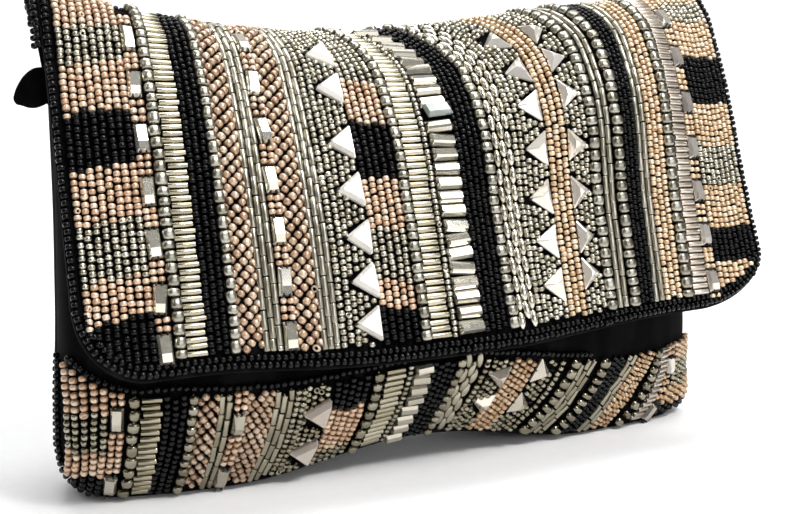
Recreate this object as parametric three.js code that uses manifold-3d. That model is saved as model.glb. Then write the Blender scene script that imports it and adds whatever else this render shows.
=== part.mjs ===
// Beaded fold-over evening clutch, standing upright on its bottom edge.
// Millimetres, +Z up, +X to the right of the beaded front, which faces -Y.
// The pouch is two velvet panels sewn together down the sides and along the
// bottom. The flap is one sheet that leaves the back panel, turns over the top
// and hangs in front. Beadwork covers the flap's outside and a strip along the
// front's lower edge, as paved stripes with columns of stones between them.
import * as THREE from 'three';
import Module from 'manifold-3d';

// ------------------------------------------------------------ driving sizes
const CLOTH = 2.0;          // velvet with its backing
const GAP = 0.3;            // between pieces that are sewn edge to edge
const LIFT = 0.65;          // foot of the beadwork over the cloth that carries it
const PAVING = 2.2;         // top of the paved beads over the cloth
const STONE = 3.1;          // height of a baguette stone over the cloth
const PYRAMID = 4.0;        // height of a triangle stone over the cloth
const FLAP_HALF = 115;      // half of the flap's width
const FLAP_CORNER = 19;     // radius of the flap's two lower corners
const BARE_ROWS = 3;        // rows of bare cloth behind the fold, past the last beads
const FOLD_START = 70;      // length up the flap where it starts to turn over
const HEM = 1.2;            // bare cloth outside the beadwork's border
const POUCH_X = -7;         // middle of the pouch, left of the flap's middle
const FRONT_POWER = { left: 3.4, right: 2.2, foot: 3.4, fades: 16 }; // plan of the front panel, as a superellipse
const BACK_POWER = 2.7;     // plan of the back panel
const ARCH = { height: 6.2, middle: -6, half: 60, fades: 70 }; // bottom edge's rise
const STRIP_FOOT = 3.2;     // height where the front's beadwork starts
const TOP_SKEW = { most: 10, middle: 8, spread: 45, from: 85, over: 25 }; // stripes drift left over the fold
const TAB = { x: -114.6, y: 5.6, z: 115.8, reach: 8.1, width: 11.4, layer: 1.2, slit: 0.5 };
const ORIGIN = { x: -3.78, y: -0.74 };   // middle of the whole object's footprint

// Flap sections: X, then Y and Z of the outside of the cloth at the hem, the
// middle of the front, the knee, the crown, the ridge and the join at the back.
const FLAP_STATIONS = ['hem', 'mid', 'knee', 'crown', 'ridge', 'join'];
const FLAP_SECTIONS = [
  { x: -115, hem: [-37.5, 42.0], mid: [-22.5, 80.0], knee: [-5.5, 123.5], crown: [0.5, 137.5], ridge: [8.0, 143.5], join: [14.0, 134.0] },
  { x: -77, hem: [-36.0, 42.5], mid: [-24.5, 78.0], knee: [-4.0, 121.5], crown: [3.5, 130.1], ridge: [13.0, 135.1], join: [25.0, 128.5] },
  { x: -42, hem: [-37.8, 40.9], mid: [-26.0, 77.5], knee: [-8.5, 111.0], crown: [1.0, 124.1], ridge: [17.0, 132.2], join: [31.5, 124.0] },
  { x: 8, hem: [-39.0, 41.7], mid: [-26.0, 77.0], knee: [-15.0, 107.0], crown: [1.0, 122.9], ridge: [23.0, 132.7], join: [36.0, 123.5] },
  { x: 65, hem: [-35.5, 44.5], mid: [-27.0, 76.5], knee: [-15.0, 122.0], crown: [-6.0, 134.6], ridge: [12.0, 141.8], join: [29.5, 131.5] },
  { x: 115, hem: [-36.5, 44.5], mid: [-23.0, 78.0], knee: [-4.0, 128.5], crown: [3.0, 142.0], ridge: [10.0, 148.0], join: [16.0, 138.5] },
];

// Pouch levels: height, reach to the left and right, front, back and side seam.
const POUCH_LEVELS = [
  { z: 0, left: 101.0, right: 105.0, front: -17.0, back: 15.0, seam: -1.0 },
  { z: 6, left: 106.5, right: 110.5, front: -21.0, back: 21.0, seam: -1.0 },
  { z: 14, left: 108.7, right: 111.5, front: -25.5, back: 26.5, seam: -1.0 },
  { z: 24, left: 108.7, right: 111.0, front: -30.0, back: 31.5, seam: -1.0 },
  { z: 35, left: 108.2, right: 110.5, front: -32.5, back: 34.5, seam: -0.5 },
  { z: 46, left: 107.4, right: 110.0, front: -31.0, back: 36.5, seam: 0.5 },
  { z: 62, left: 106.7, right: 109.5, front: -25.0, back: 38.0, seam: 2.0 },
  { z: 86, left: 105.7, right: 109.0, front: -15.5, back: 38.8, seam: 4.5 },
  { z: 112, left: 105.5, right: 108.5, front: -5.0, back: 38.2, seam: 7.0 },
];

// Stripes of paving on the flap, from left to right: start and end across it.
const FLAP_STRIPES = [
  { name: 'flap_beads_left_block', from: -114.4, to: -94.2 },
  { name: 'flap_beads_left_bugles', from: -89.6, to: -59.5 },
  { name: 'flap_beads_rope', from: -54.6, to: -38.9 },
  { name: 'flap_beads_middle_block', from: -29.5, to: -6.0 },
  { name: 'flap_beads_rice', from: 2.9, to: 24.2 },
  { name: 'flap_beads_peach', from: 33.7, to: 40.2 },
  { name: 'flap_beads_right_bugles', from: 47.9, to: 89.0 },
  { name: 'flap_beads_right_block', from: 94.3, to: 114.4 },
];
// Columns of stones on the flap: baguettes stand along the column or lie across it.
const FLAP_BAGUETTES = [
  { name: 'flap_baguettes_left', from: -93.8, to: -90.0, first: 5.0, pitch: 14.8, count: 7, long: 8.0 },
  { name: 'flap_baguettes_middle', from: -59.1, to: -55.0, first: 6.2, pitch: 15.0, count: 7, long: 8.0 },
  { name: 'flap_baguettes_ladder', from: -5.6, to: 2.5, first: 5.0, pitch: 4.4, count: 24, long: 3.4 },
  { name: 'flap_baguettes_right', from: 89.4, to: 93.9, first: 7.7, pitch: 15.2, count: 7, long: 7.6 },
];
const FLAP_TRIANGLES = [
  { name: 'flap_triangles_left', side: -30.2, tip: -38.2, first: 8.0, pitch: 13.8, count: 7, tall: 11.2 },
  { name: 'flap_triangles_middle', side: 33.1, tip: 25.2, first: 12.7, pitch: 14.3, count: 7, tall: 11.2 },
  { name: 'flap_triangles_right', side: 40.8, tip: 47.3, first: 14.6, pitch: 14.2, count: 7, tall: 10.6 },
];
// The same stripes on the front's strip, placed across the panel at its fullest height.
const FRONT_STRIPES = [
  { name: 'front_beads_left_block', from: -114.9, to: -105.4 },
  { name: 'front_beads_left_bugles', from: -100.6, to: -73.6 },
  { name: 'front_beads_rope', from: -68.6, to: -52.6 },
  { name: 'front_beads_middle_block', from: -43.2, to: -18.6 },
  { name: 'front_beads_rice', from: -12.0, to: 6.4 },
  { name: 'front_beads_peach', from: 15.4, to: 23.6 },
  { name: 'front_beads_right_bugles', from: 32.0, to: 84.6 },
  { name: 'front_beads_right_block', from: 89.8, to: 102.8 },
];
const FRONT_BAGUETTES = [
  { name: 'front_baguettes_left', from: -105.0, to: -101.0, first: 4.2, pitch: 20.0, count: 2, long: 6.8 },
  { name: 'front_baguettes_middle', from: -73.2, to: -69.0, first: 4.2, pitch: 16.4, count: 2, long: 6.6 },
  { name: 'front_baguettes_ladder', from: -18.2, to: -12.4, first: 2.4, pitch: 3.6, count: 8, long: 2.8 },
  { name: 'front_baguettes_right', from: 85.0, to: 89.4, first: 4.6, pitch: 14.0, count: 2, long: 6.4 },
];
const FRONT_TRIANGLES = [
  { name: 'front_triangles_left', side: -43.9, tip: -51.8, first: 6.0, pitch: 12.0, count: 2, tall: 9.6 },
  { name: 'front_triangles_middle', side: 14.6, tip: 7.2, first: 7.6, pitch: 12.0, count: 2, tall: 9.4 },
  { name: 'front_triangles_right', side: 24.4, tip: 31.2, first: 8.0, pitch: 12.2, count: 2, tall: 9.4 },
];
// Upper edge of the front's strip: place across and height.
const STRIP_TOP = [
  { x: -116, z: 46 }, { x: -110.5, z: 41.2 }, { x: -103.7, z: 37.1 }, { x: -87, z: 35.9 }, { x: -45, z: 33.8 },
  { x: 0, z: 34 }, { x: 57, z: 31 }, { x: 75, z: 30 }, { x: 90, z: 30 }, { x: 105, z: 31 },
];

// ------------------------------------------------------------ finishes
const finish = {
  velvet: { color: 0x0b0a0c, roughness: 0.95, metalness: 0 },
  seeds: { color: 0x8f7a66, roughness: 0.35, metalness: 0.4 },
  foil: { color: 0xcfc6b8, roughness: 0.12, metalness: 0.6 },
  mirror: { color: 0xc9c2bb, roughness: 0.06, metalness: 0.9 },
};

// ------------------------------------------------------------ curves
// Smooth curve through a few knots, with the slope at each knot from its neighbours.
function smooth(xs, ys, x) {
  const n = xs.length, d = [], s = [];
  for (let i = 0; i < n - 1; i++) { d.push(xs[i + 1] - xs[i]); s.push((ys[i + 1] - ys[i]) / (xs[i + 1] - xs[i])); }
  const slope = (i) => i === 0 ? s[0] : i === n - 1 ? s[n - 2] : (s[i] * d[i - 1] + s[i - 1] * d[i]) / (d[i] + d[i - 1]);
  let i = 0;
  while (i < n - 2 && x >= xs[i + 1]) i++;
  const t = Math.min(1.5, Math.max(-0.5, (x - xs[i]) / d[i])), t2 = t * t, t3 = t2 * t;
  return (2 * t3 - 3 * t2 + 1) * ys[i] + (t3 - 2 * t2 + t) * d[i] * slope(i) +
    (-2 * t3 + 3 * t2) * ys[i + 1] + (t3 - t2) * d[i] * slope(i + 1);
}
const clamp = (x, a, b) => Math.min(b, Math.max(a, x));
const steps = (n, f) => Array.from({ length: n + 1 }, (_, i) => f(i / n));
const spread = (from, to, n) => steps(n, (f) => from + (to - from) * f);

// A curve through 3-D knots, sampled by its length.
function lengthCurve(knots, samples = 240) {
  const c = [0];
  for (let i = 1; i < knots.length; i++) c.push(c[i - 1] + Math.max(1e-6, knots[i].distanceTo(knots[i - 1])));
  const pick = (k) => knots.map((p) => p.getComponent(k));
  const axes = [pick(0), pick(1), pick(2)];
  const points = steps(samples, (f) => new THREE.Vector3(...axes.map((a) => smooth(c, a, f * c[c.length - 1]))));
  const along = [0];
  for (let i = 1; i < points.length; i++) along.push(along[i - 1] + points[i].distanceTo(points[i - 1]));
  return {
    knotLengths: c, points, along, length: along[along.length - 1],
    at(l) {
      let lo = 0, hi = along.length - 1;
      while (hi - lo > 1) { const m = (lo + hi) >> 1; if (along[m] <= l) lo = m; else hi = m; }
      const span = along[hi] - along[lo];
      return points[lo].clone().lerp(points[hi], span > 0 ? clamp((l - along[lo]) / span, -0.5, 1.5) : 0);
    },
  };
}
const memo = (f) => { const kept = new Map(); return (x) => { const k = x.toFixed(5); if (!kept.has(k)) kept.set(k, f(x)); return kept.get(k); }; };

// ------------------------------------------------------------ the flap's surface
const flapCurve = memo((u) => lengthCurve(FLAP_STATIONS.map((name) => new THREE.Vector3(u,
  smooth(FLAP_SECTIONS.map((s) => s.x), FLAP_SECTIONS.map((s) => s[name][0]), u),
  smooth(FLAP_SECTIONS.map((s) => s.x), FLAP_SECTIONS.map((s) => s[name][1]), u)))));
function flapSkew(u, v) {
  const q = clamp((v - TOP_SKEW.from) / TOP_SKEW.over, 0, 1.4), b = (u - TOP_SKEW.middle) / TOP_SKEW.spread;
  return -TOP_SKEW.most * Math.exp(-b * b) * q * q;
}
function flapOn(u, v) { const p = flapCurve(u).at(v); p.x += flapSkew(u, v); return p; }
function lifted(on, u, v, h, du, dv) {
  const across = on(u + du, v).sub(on(u - du, v)), along = on(u, v + dv).sub(on(u, v - dv));
  const n = across.cross(along).normalize();
  return on(u, v).addScaledVector(n, h);
}
const flapAt = (u, v, h) => lifted(flapOn, u, v, h, 0.6, 0.6);
// The hem runs straight across and turns up the sides in two round corners.
function flapHem(u, inset = 0) {
  const half = FLAP_HALF - inset, r = FLAP_CORNER - inset, over = Math.abs(u) - (half - r);
  return inset + (over <= 0 ? 0 : r - Math.sqrt(Math.max(0, r * r - over * over)));
}

// ------------------------------------------------------------ the pouch's surfaces
function archAt(x, z) {
  const q = clamp((x - ARCH.middle) / ARCH.half, -1, 1), c = Math.cos(q * Math.PI / 2);
  return ARCH.height * c * c * clamp(1 - z / ARCH.fades, 0, 1);
}
const planX = (a, power) => -Math.sign(Math.cos(a)) * Math.pow(Math.abs(Math.cos(a)), 2 / power);
const planY = (a, power) => Math.pow(Math.abs(Math.sin(a)), 2 / power);
const level = (name) => { const zs = POUCH_LEVELS.map((l) => l.z), vs = POUCH_LEVELS.map((l) => l[name]); return (z) => smooth(zs, vs, z); };
const leftAt = level('left'), rightAt = level('right'), frontY = level('front'), backY = level('back'), seamY = level('seam');
const reachAt = (right, z) => right ? rightAt(z) : leftAt(z);
// The front's right end is rounder than its left end, apart from its foot.
const frontPower = (right, z) => right ? FRONT_POWER.right + (FRONT_POWER.foot - FRONT_POWER.right) * clamp(1 - z / FRONT_POWER.fades, 0, 1) : FRONT_POWER.left;
const backPower = () => BACK_POWER;
const FULL = 24;            // height where the pouch is widest
// A column of the front's wall: the bottom from the seam to its front edge, then up to the mouth.
const WALL_HEIGHTS = POUCH_LEVELS.flatMap((l, i) => i ? [(POUCH_LEVELS[i - 1].z + l.z) / 2, l.z] : [l.z]);
function frontColumn(a) {
  const right = Math.cos(a) < 0;
  const place = (z, k) => {
    const power = frontPower(right, z), x = POUCH_X + reachAt(right, z) * planX(a, power);
    return new THREE.Vector3(x, seamY(z) - GAP / 2 + k * (frontY(z) - seamY(z)) * planY(a, power), z + archAt(x, z));
  };
  return [place(0, 0), ...WALL_HEIGHTS.map((z) => place(z, 1))];
}
// The back's upper rim lies along the flap's end, on its outside or its inside.
function backRim(a, h) {
  const u = FLAP_HALF * planX(a, BACK_POWER), end = flapCurve(u).length;
  const down = flapOn(u, end).sub(flapOn(u, end - 1)).normalize();
  return flapAt(u, end, h).addScaledVector(down, GAP);
}
// A column of the back's wall goes on past the mouth to the flap's join.
function backColumn(a) {
  const place = (z, k) => {
    const x = POUCH_X + reachAt(Math.cos(a) < 0, z) * planX(a, BACK_POWER);
    return new THREE.Vector3(x, seamY(z) + GAP / 2 + k * (backY(z) - seamY(z)) * planY(a, BACK_POWER), z + archAt(x, z));
  };
  const wall = WALL_HEIGHTS.map((z) => place(z, 1)), top = backRim(a, 0), last = wall[wall.length - 1];
  const ease = steps(4, (f) => f).slice(1).map((f) => {
    const straight = last.clone().lerp(top, f), swell = Math.sin(Math.PI * f) * 2.2 * planY(a, BACK_POWER);
    return straight.add(new THREE.Vector3(0, swell, 0));
  });
  return [place(0, 0), ...wall, ...ease];
}
// The outside of the front at a place across and a height.
function frontOn(x, z) {
  const right = x > POUCH_X, power = frontPower(right, z), q = clamp(Math.abs(x - POUCH_X) / reachAt(right, z), 0, 1);
  const depth = Math.pow(1 - Math.pow(q, power), 1 / power);
  return new THREE.Vector3(x, seamY(z) - GAP / 2 + (frontY(z) - seamY(z)) * depth, z + archAt(x, z));
}
const frontAt = (x, z, h) => lifted(frontOn, x, z, h, 0.05, 0.3);
// Where a place across the front stands round the plan, and back again.
function frontAngle(x) {
  const right = x > POUCH_X, c = clamp((POUCH_X - x) / reachAt(right, FULL), -1, 1);
  return Math.acos(Math.sign(c) * Math.pow(Math.abs(c), frontPower(right, FULL) / 2));
}
function frontAcross(a) {
  const right = Math.cos(a) < 0;
  return POUCH_X + reachAt(right, FULL) * planX(a, frontPower(right, FULL));
}
const stripTop = (x) => smooth(STRIP_TOP.map((s) => s.x), STRIP_TOP.map((s) => s.z), x);
// The strip starts just over the bottom, or where the round corner lets it.
function stripFoot(x) {
  let z = STRIP_FOOT;
  while (z < 30 && reachAt(x > POUCH_X, z) < Math.abs(x - POUCH_X) + 0.6) z += 0.25;
  return z;
}

// ------------------------------------------------------------ closed bodies
function body(points, triangles) {
  const index = new Map(), verts = [], map = points.map((p) => {
    const k = [p.x, p.y, p.z].map((c) => Math.round(c * 2000)).join();
    if (!index.has(k)) { index.set(k, verts.length); verts.push(p); }
    return index.get(k);
  });
  let tris = triangles.map((t) => t.map((i) => map[i])).filter((t) => t[0] !== t[1] && t[1] !== t[2] && t[2] !== t[0]);
  let volume = 0;
  for (const [a, b, c] of tris) volume += verts[a].dot(verts[b].clone().cross(verts[c]));
  if (volume < 0) tris = tris.map(([a, b, c]) => [a, c, b]);
  const g = new THREE.BufferGeometry();
  g.setAttribute('position', new THREE.Float32BufferAttribute(verts.flatMap((p) => [p.x, p.y, p.z]), 3));
  g.setIndex(tris.flat());
  g.computeVertexNormals();
  return g;
}
// A sheet between two grids of points, closed round its edge.
function sheet(top, bottom) {
  const m = top.length, n = top[0].length, points = [...top.flat(), ...bottom.flat()], tris = [];
  const T = (i, j) => i * n + j, B = (i, j) => m * n + i * n + j;
  const quad = (a, b, c, d) => tris.push([a, b, c], [a, c, d]);
  for (let i = 0; i < m - 1; i++) for (let j = 0; j < n - 1; j++) {
    quad(T(i, j), T(i + 1, j), T(i + 1, j + 1), T(i, j + 1));
    quad(B(i, j), B(i, j + 1), B(i + 1, j + 1), B(i + 1, j));
  }
  for (let i = 0; i < m - 1; i++) {
    quad(T(i, 0), B(i, 0), B(i + 1, 0), T(i + 1, 0));
    quad(T(i, n - 1), T(i + 1, n - 1), B(i + 1, n - 1), B(i, n - 1));
  }
  for (let j = 0; j < n - 1; j++) {
    quad(T(0, j), T(0, j + 1), B(0, j + 1), B(0, j));
    quad(T(m - 1, j), B(m - 1, j), B(m - 1, j + 1), T(m - 1, j + 1));
  }
  return body(points, tris);
}

// The wall of a panel: its outside, and the same points moved inward by the cloth.
// A panel that goes on into another sheet takes its rim's inside from that sheet.
function panel(column, angles, inward, rim) {
  const outer = angles.map(column), last = outer.length - 1;
  const inner = outer.map((col, i) => col.map((p, j) => {
    const next = outer[Math.min(i + 1, last)], prev = outer[Math.max(i - 1, 0)];
    const across = next[j].clone().sub(prev[j]);
    const along = col[Math.min(j + 1, col.length - 1)].clone().sub(col[Math.max(j - 1, 0)]);
    const n = across.cross(along).normalize().multiplyScalar(inward);
    if (i === 0 || i === last || j === 0) { n.y = 0; n.normalize(); }
    return rim && j === col.length - 1 ? rim(angles[i]) : p.clone().addScaledVector(n, CLOTH);
  }));
  return sheet(outer, inner);
}

// ------------------------------------------------------------ paving and stones
// Rows along the flap: a few on its flat front, close together over the fold.
const flapRows = (low, u) => [...spread(low, FOLD_START, 5).slice(0, -1), ...spread(FOLD_START, flapCurve(u).length, 15)];
// The beadwork keeps to the same rows and stops a few short of the flap's end.
const beadRows = (low, u) => flapRows(low, u).slice(0, -BARE_ROWS);
function flapPaving({ from, to }) {
  const us = spread(from, to, Math.abs(from) > 100 || Math.abs(to) > 100 ? 6 : Math.max(1, Math.round((to - from) / 14)));
  const vs = (u) => beadRows(flapHem(u, HEM - 0.6), u);
  const grid = (h) => us.map((u) => vs(u).map((v) => flapAt(u, v, h)));
  return sheet(grid(PAVING), grid(LIFT));
}
function frontPaving({ from, to }) {
  const n = Math.abs(from - POUCH_X) > 85 || Math.abs(to - POUCH_X) > 85 ? 6 : Math.max(1, Math.round((to - from) / 12));
  const xs = spread(frontAngle(from), frontAngle(to), n).map(frontAcross);
  const grid = (h) => xs.map((x) => spread(stripFoot(x), stripTop(x), 9).map((z) => frontAt(x, z, h)));
  return sheet(grid(PAVING), grid(LIFT));
}
// A column of baguettes: one ribbed strip, high at each stone and low between them.
function ribs(lines, { first, pitch, count, long }) {
  const low = lines[0], high = lines[lines.length - 1], stones = [];
  for (let i = 0; i < count; i++) {
    const a = low + first + i * pitch - long / 2, b = a + long;
    if (a > low + 0.4 && b < high - 0.4) stones.push([a, b]);
  }
  const rows = stones.flatMap(([a, b]) => [{ l: a, h: PAVING }, { l: a + 0.4, h: STONE }, { l: b - 0.4, h: STONE }, { l: b, h: PAVING }]);
  for (const l of lines) {
    const free = rows.every((r) => Math.abs(r.l - l) > 0.3), inside = stones.some(([a, b]) => l > a && l < b);
    if (free) rows.push({ l, h: inside ? STONE : PAVING });
  }
  return rows.sort((p, q) => p.l - q.l);
}
function flapBaguettes(row) {
  const us = [row.from, row.to], middle = (row.from + row.to) / 2;
  const rows = ribs(beadRows(flapHem(middle, HEM), middle), row);
  return sheet(us.map((u) => rows.map(({ l, h }) => flapAt(u, l, h))), us.map((u) => rows.map(({ l }) => flapAt(u, l, LIFT))));
}
function frontBaguettes(row) {
  const xs = [row.from, row.to];
  const rows = ribs(spread(Math.max(...xs.map(stripFoot)), Math.min(...xs.map(stripTop)), 9), row);
  return sheet(xs.map((x) => rows.map(({ l, h }) => frontAt(x, l, h))), xs.map((x) => rows.map(({ l }) => frontAt(x, l, LIFT))));
}
// A pyramid with three sides: its foot on the cloth and a small flat on top.
function pyramid(foot, top) {
  return body([...foot, ...top], [[0, 2, 1], [3, 4, 5], [0, 1, 4], [0, 4, 3], [1, 2, 5], [1, 5, 4], [2, 0, 3], [2, 3, 5]]);
}
const wasm = await Module();
wasm.setup();
function solid(geometry) {
  return new wasm.Manifold(new wasm.Mesh({
    numProp: 3, vertProperties: new Float32Array(geometry.getAttribute('position').array), triVerts: new Uint32Array(geometry.getIndex().array),
  }));
}
function joined(geometries) {
  let all = solid(geometries[0]);
  for (const g of geometries.slice(1)) all = all.add(solid(g));
  const mesh = all.getMesh(), points = [], tris = [];
  for (let i = 0; i < mesh.vertProperties.length; i += mesh.numProp) points.push(new THREE.Vector3(...mesh.vertProperties.slice(i, i + 3)));
  for (let i = 0; i < mesh.triVerts.length; i += 3) tris.push(Array.from(mesh.triVerts.slice(i, i + 3)));
  return body(points, tris);
}
// A column of triangles on the ribbon of beads that fills the space between them.
function triangles(row, at, low, high, ribbon) {
  const stones = [], lean = 0.28, dir = Math.sign(row.tip - row.side);
  for (let i = 0; i < row.count; i++) {
    const l = low + row.first + i * row.pitch;
    if (l + row.tall / 2 > high - 0.5) continue;
    const foot = [[row.side - dir * 0.05, -0.5], [row.side - dir * 0.05, 0.5], [row.tip, 0]];
    const mid = row.side + (row.tip - row.side) / 3;
    const ring = (k, h) => foot.map(([x, f]) => at(mid + (x - mid) * k, l + f * row.tall * k, h));
    stones.push(pyramid(ring(0.97, PAVING - 0.5), ring(lean, PYRAMID)));
  }
  return joined([ribbon, ...stones]);
}
function ribbonBetween(row) { const a = Math.min(row.side, row.tip), b = Math.max(row.side, row.tip); return { from: a - 0.2, to: b + 0.2 }; }
function flapTriangles(row) {
  const middle = (row.side + row.tip) / 2, low = flapHem(middle, HEM), high = beadRows(low, middle).pop();
  return triangles(row, flapAt, low, high, flapPaving(ribbonBetween(row)));
}
function frontTriangles(row) {
  const middle = (row.side + row.tip) / 2;
  return triangles(row, frontAt, stripFoot(middle), stripTop(middle), frontPaving(ribbonBetween(row)));
}

// ------------------------------------------------------------ assembly
const clutch = new THREE.Group();
clutch.position.set(-ORIGIN.x, -ORIGIN.y, 0);
function add(name, geometry, look) {
  const mesh = new THREE.Mesh(geometry, new THREE.MeshStandardMaterial(finish[look]));
  mesh.name = name;
  clutch.add(mesh);
}

// Columns stand close at the rounded ends and even across the middle.
const columns = (power) => steps(24, (f) => { const c = Math.cos(f * Math.PI); return Math.acos(Math.sign(c) * Math.pow(Math.abs(c), power(c < 0, FULL) / 2)); });
add('front_panel', panel(frontColumn, columns(frontPower), -1), 'velvet');
add('back_panel', panel(backColumn, columns(backPower), 1, (a) => backRim(a, -CLOTH)), 'velvet');

const acrossFlap = steps(24, (f) => FLAP_HALF * Math.sin((f - 0.5) * Math.PI));
const alongFlap = (u) => flapRows(flapHem(u), u);
const flapGrid = (h) => acrossFlap.map((u) => alongFlap(u).map((v) => flapAt(u, v, h)));
add('flap', sheet(flapGrid(0), flapGrid(-CLOTH)), 'velvet');

for (const row of FLAP_STRIPES) add(row.name, flapPaving(row), 'seeds');
for (const row of FLAP_BAGUETTES) add(row.name, flapBaguettes(row), 'foil');
for (const row of FLAP_TRIANGLES) add(row.name, flapTriangles(row), 'mirror');
for (const row of FRONT_STRIPES) add(row.name, frontPaving(row), 'seeds');
for (const row of FRONT_BAGUETTES) add(row.name, frontBaguettes(row), 'foil');
for (const row of FRONT_TRIANGLES) add(row.name, frontTriangles(row), 'mirror');

// Strap tab: a short tape folded double, its two ends in the left side seam.
const tape = TAB.layer * 2 + TAB.slit, fold = new THREE.Shape();
fold.moveTo(0, 0);
fold.lineTo(0, TAB.layer);
fold.lineTo(-(TAB.reach - TAB.layer - 0.6), TAB.layer);
fold.lineTo(-(TAB.reach - TAB.layer - 0.6), TAB.layer + TAB.slit);
fold.lineTo(0, TAB.layer + TAB.slit);
fold.lineTo(0, tape);
fold.lineTo(-(TAB.reach - tape / 2), tape);
fold.absarc(-(TAB.reach - tape / 2), tape / 2, tape / 2, Math.PI / 2, Math.PI * 1.5, false);
fold.lineTo(0, 0);
const tab = new THREE.ExtrudeGeometry(fold, { depth: TAB.width, bevelEnabled: false, curveSegments: 8 });
tab.translate(TAB.x, TAB.y, TAB.z - TAB.width / 2);
add('strap_tab', tab, 'velvet');

const model = new THREE.Group();
model.add(clutch);
export default model;
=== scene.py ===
import math
import bpy
import numpy as np
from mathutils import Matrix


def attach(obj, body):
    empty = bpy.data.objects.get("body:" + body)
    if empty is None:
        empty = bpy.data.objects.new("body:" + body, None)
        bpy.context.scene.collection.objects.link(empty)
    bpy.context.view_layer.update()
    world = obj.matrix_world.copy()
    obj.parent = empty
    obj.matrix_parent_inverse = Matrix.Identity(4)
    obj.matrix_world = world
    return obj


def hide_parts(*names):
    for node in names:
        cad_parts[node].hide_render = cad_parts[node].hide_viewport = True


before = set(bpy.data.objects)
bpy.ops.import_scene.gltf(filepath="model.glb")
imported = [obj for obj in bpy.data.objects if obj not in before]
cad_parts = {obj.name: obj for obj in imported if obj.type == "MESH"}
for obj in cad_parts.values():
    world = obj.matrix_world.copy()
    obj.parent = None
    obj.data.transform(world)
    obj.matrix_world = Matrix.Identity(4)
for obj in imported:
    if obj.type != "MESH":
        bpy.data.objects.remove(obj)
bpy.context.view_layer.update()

rng = np.random.default_rng(20)

# ---------------------------------------------------------------- sizes, in millimetres
# X is measured from the flap's middle, Y and Z as on the part. OFFSET moves to the part's frame.
OFFSET = np.array([3.78, 0.74, 0.0])
CLOTH, GAP = 2.0, 0.3
FLAP_HALF, FLAP_CORNER = 115.0, 19.0
HEM_DROP = ([-115, -60, 20, 45, 68, 85, 115], [2.2, 2.3, 2.9, 2.4, 1.5, 0.7, 0.5])
HEM_TURN = {"left": (19.0, 19.0, 2.0), "right": (30.0, 17.0, 1.8)}
POUCH_X, LEFT_POWER, RIGHT_POWER, FOOT_POWER, BACK_POWER = -7.0, 3.4, 2.2, 3.4, 2.7
SECT_X = [-115, -77, -42, 8, 65, 115]
SECT_Y = [[-37.5, -36.0, -37.8, -39.0, -35.5, -36.5], [-22.5, -24.5, -26.0, -26.0, -27.0, -23.0],
          [-5.5, -4.0, -8.5, -15.0, -15.0, -4.0], [0.5, 3.5, 1.0, 1.0, -6.0, 3.0],
          [8.0, 13.0, 17.0, 23.0, 12.0, 10.0], [14.0, 25.0, 31.5, 36.0, 29.5, 16.0]]
SECT_Z = [[42.0, 42.5, 40.9, 41.7, 44.5, 44.5], [80.0, 78.0, 77.5, 77.0, 76.5, 78.0],
          [123.5, 121.5, 111.0, 107.0, 122.0, 128.5], [137.5, 130.1, 124.1, 122.9, 134.6, 142.0],
          [143.5, 135.1, 132.2, 132.7, 141.8, 148.0], [134.0, 128.5, 124.0, 123.5, 131.5, 138.5]]
LEVEL_Z = [0, 6, 14, 24, 35, 46, 62, 86, 112]
LEVEL = {"left": [101, 106.5, 108.7, 108.7, 108.2, 107.4, 106.7, 105.7, 105.5],
         "right": [105, 110.5, 111.5, 111, 110.5, 110, 109.5, 109, 108.5],
         "front": [-17, -21, -25.5, -30, -32.5, -31, -25, -15.5, -5],
         "back": [15, 21, 26.5, 31.5, 34.5, 36.5, 38, 38.8, 38.2],
         "seam": [-1, -1, -1, -1, -0.5, 0.5, 2, 4.5, 7]}
STRIP_TOP = ([-116, -110.5, -103.7, -87, -45, 0, 57, 75, 90, 105],
             [46, 41.2, 37.1, 35.9, 33.8, 34, 31, 30, 30, 31])
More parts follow.
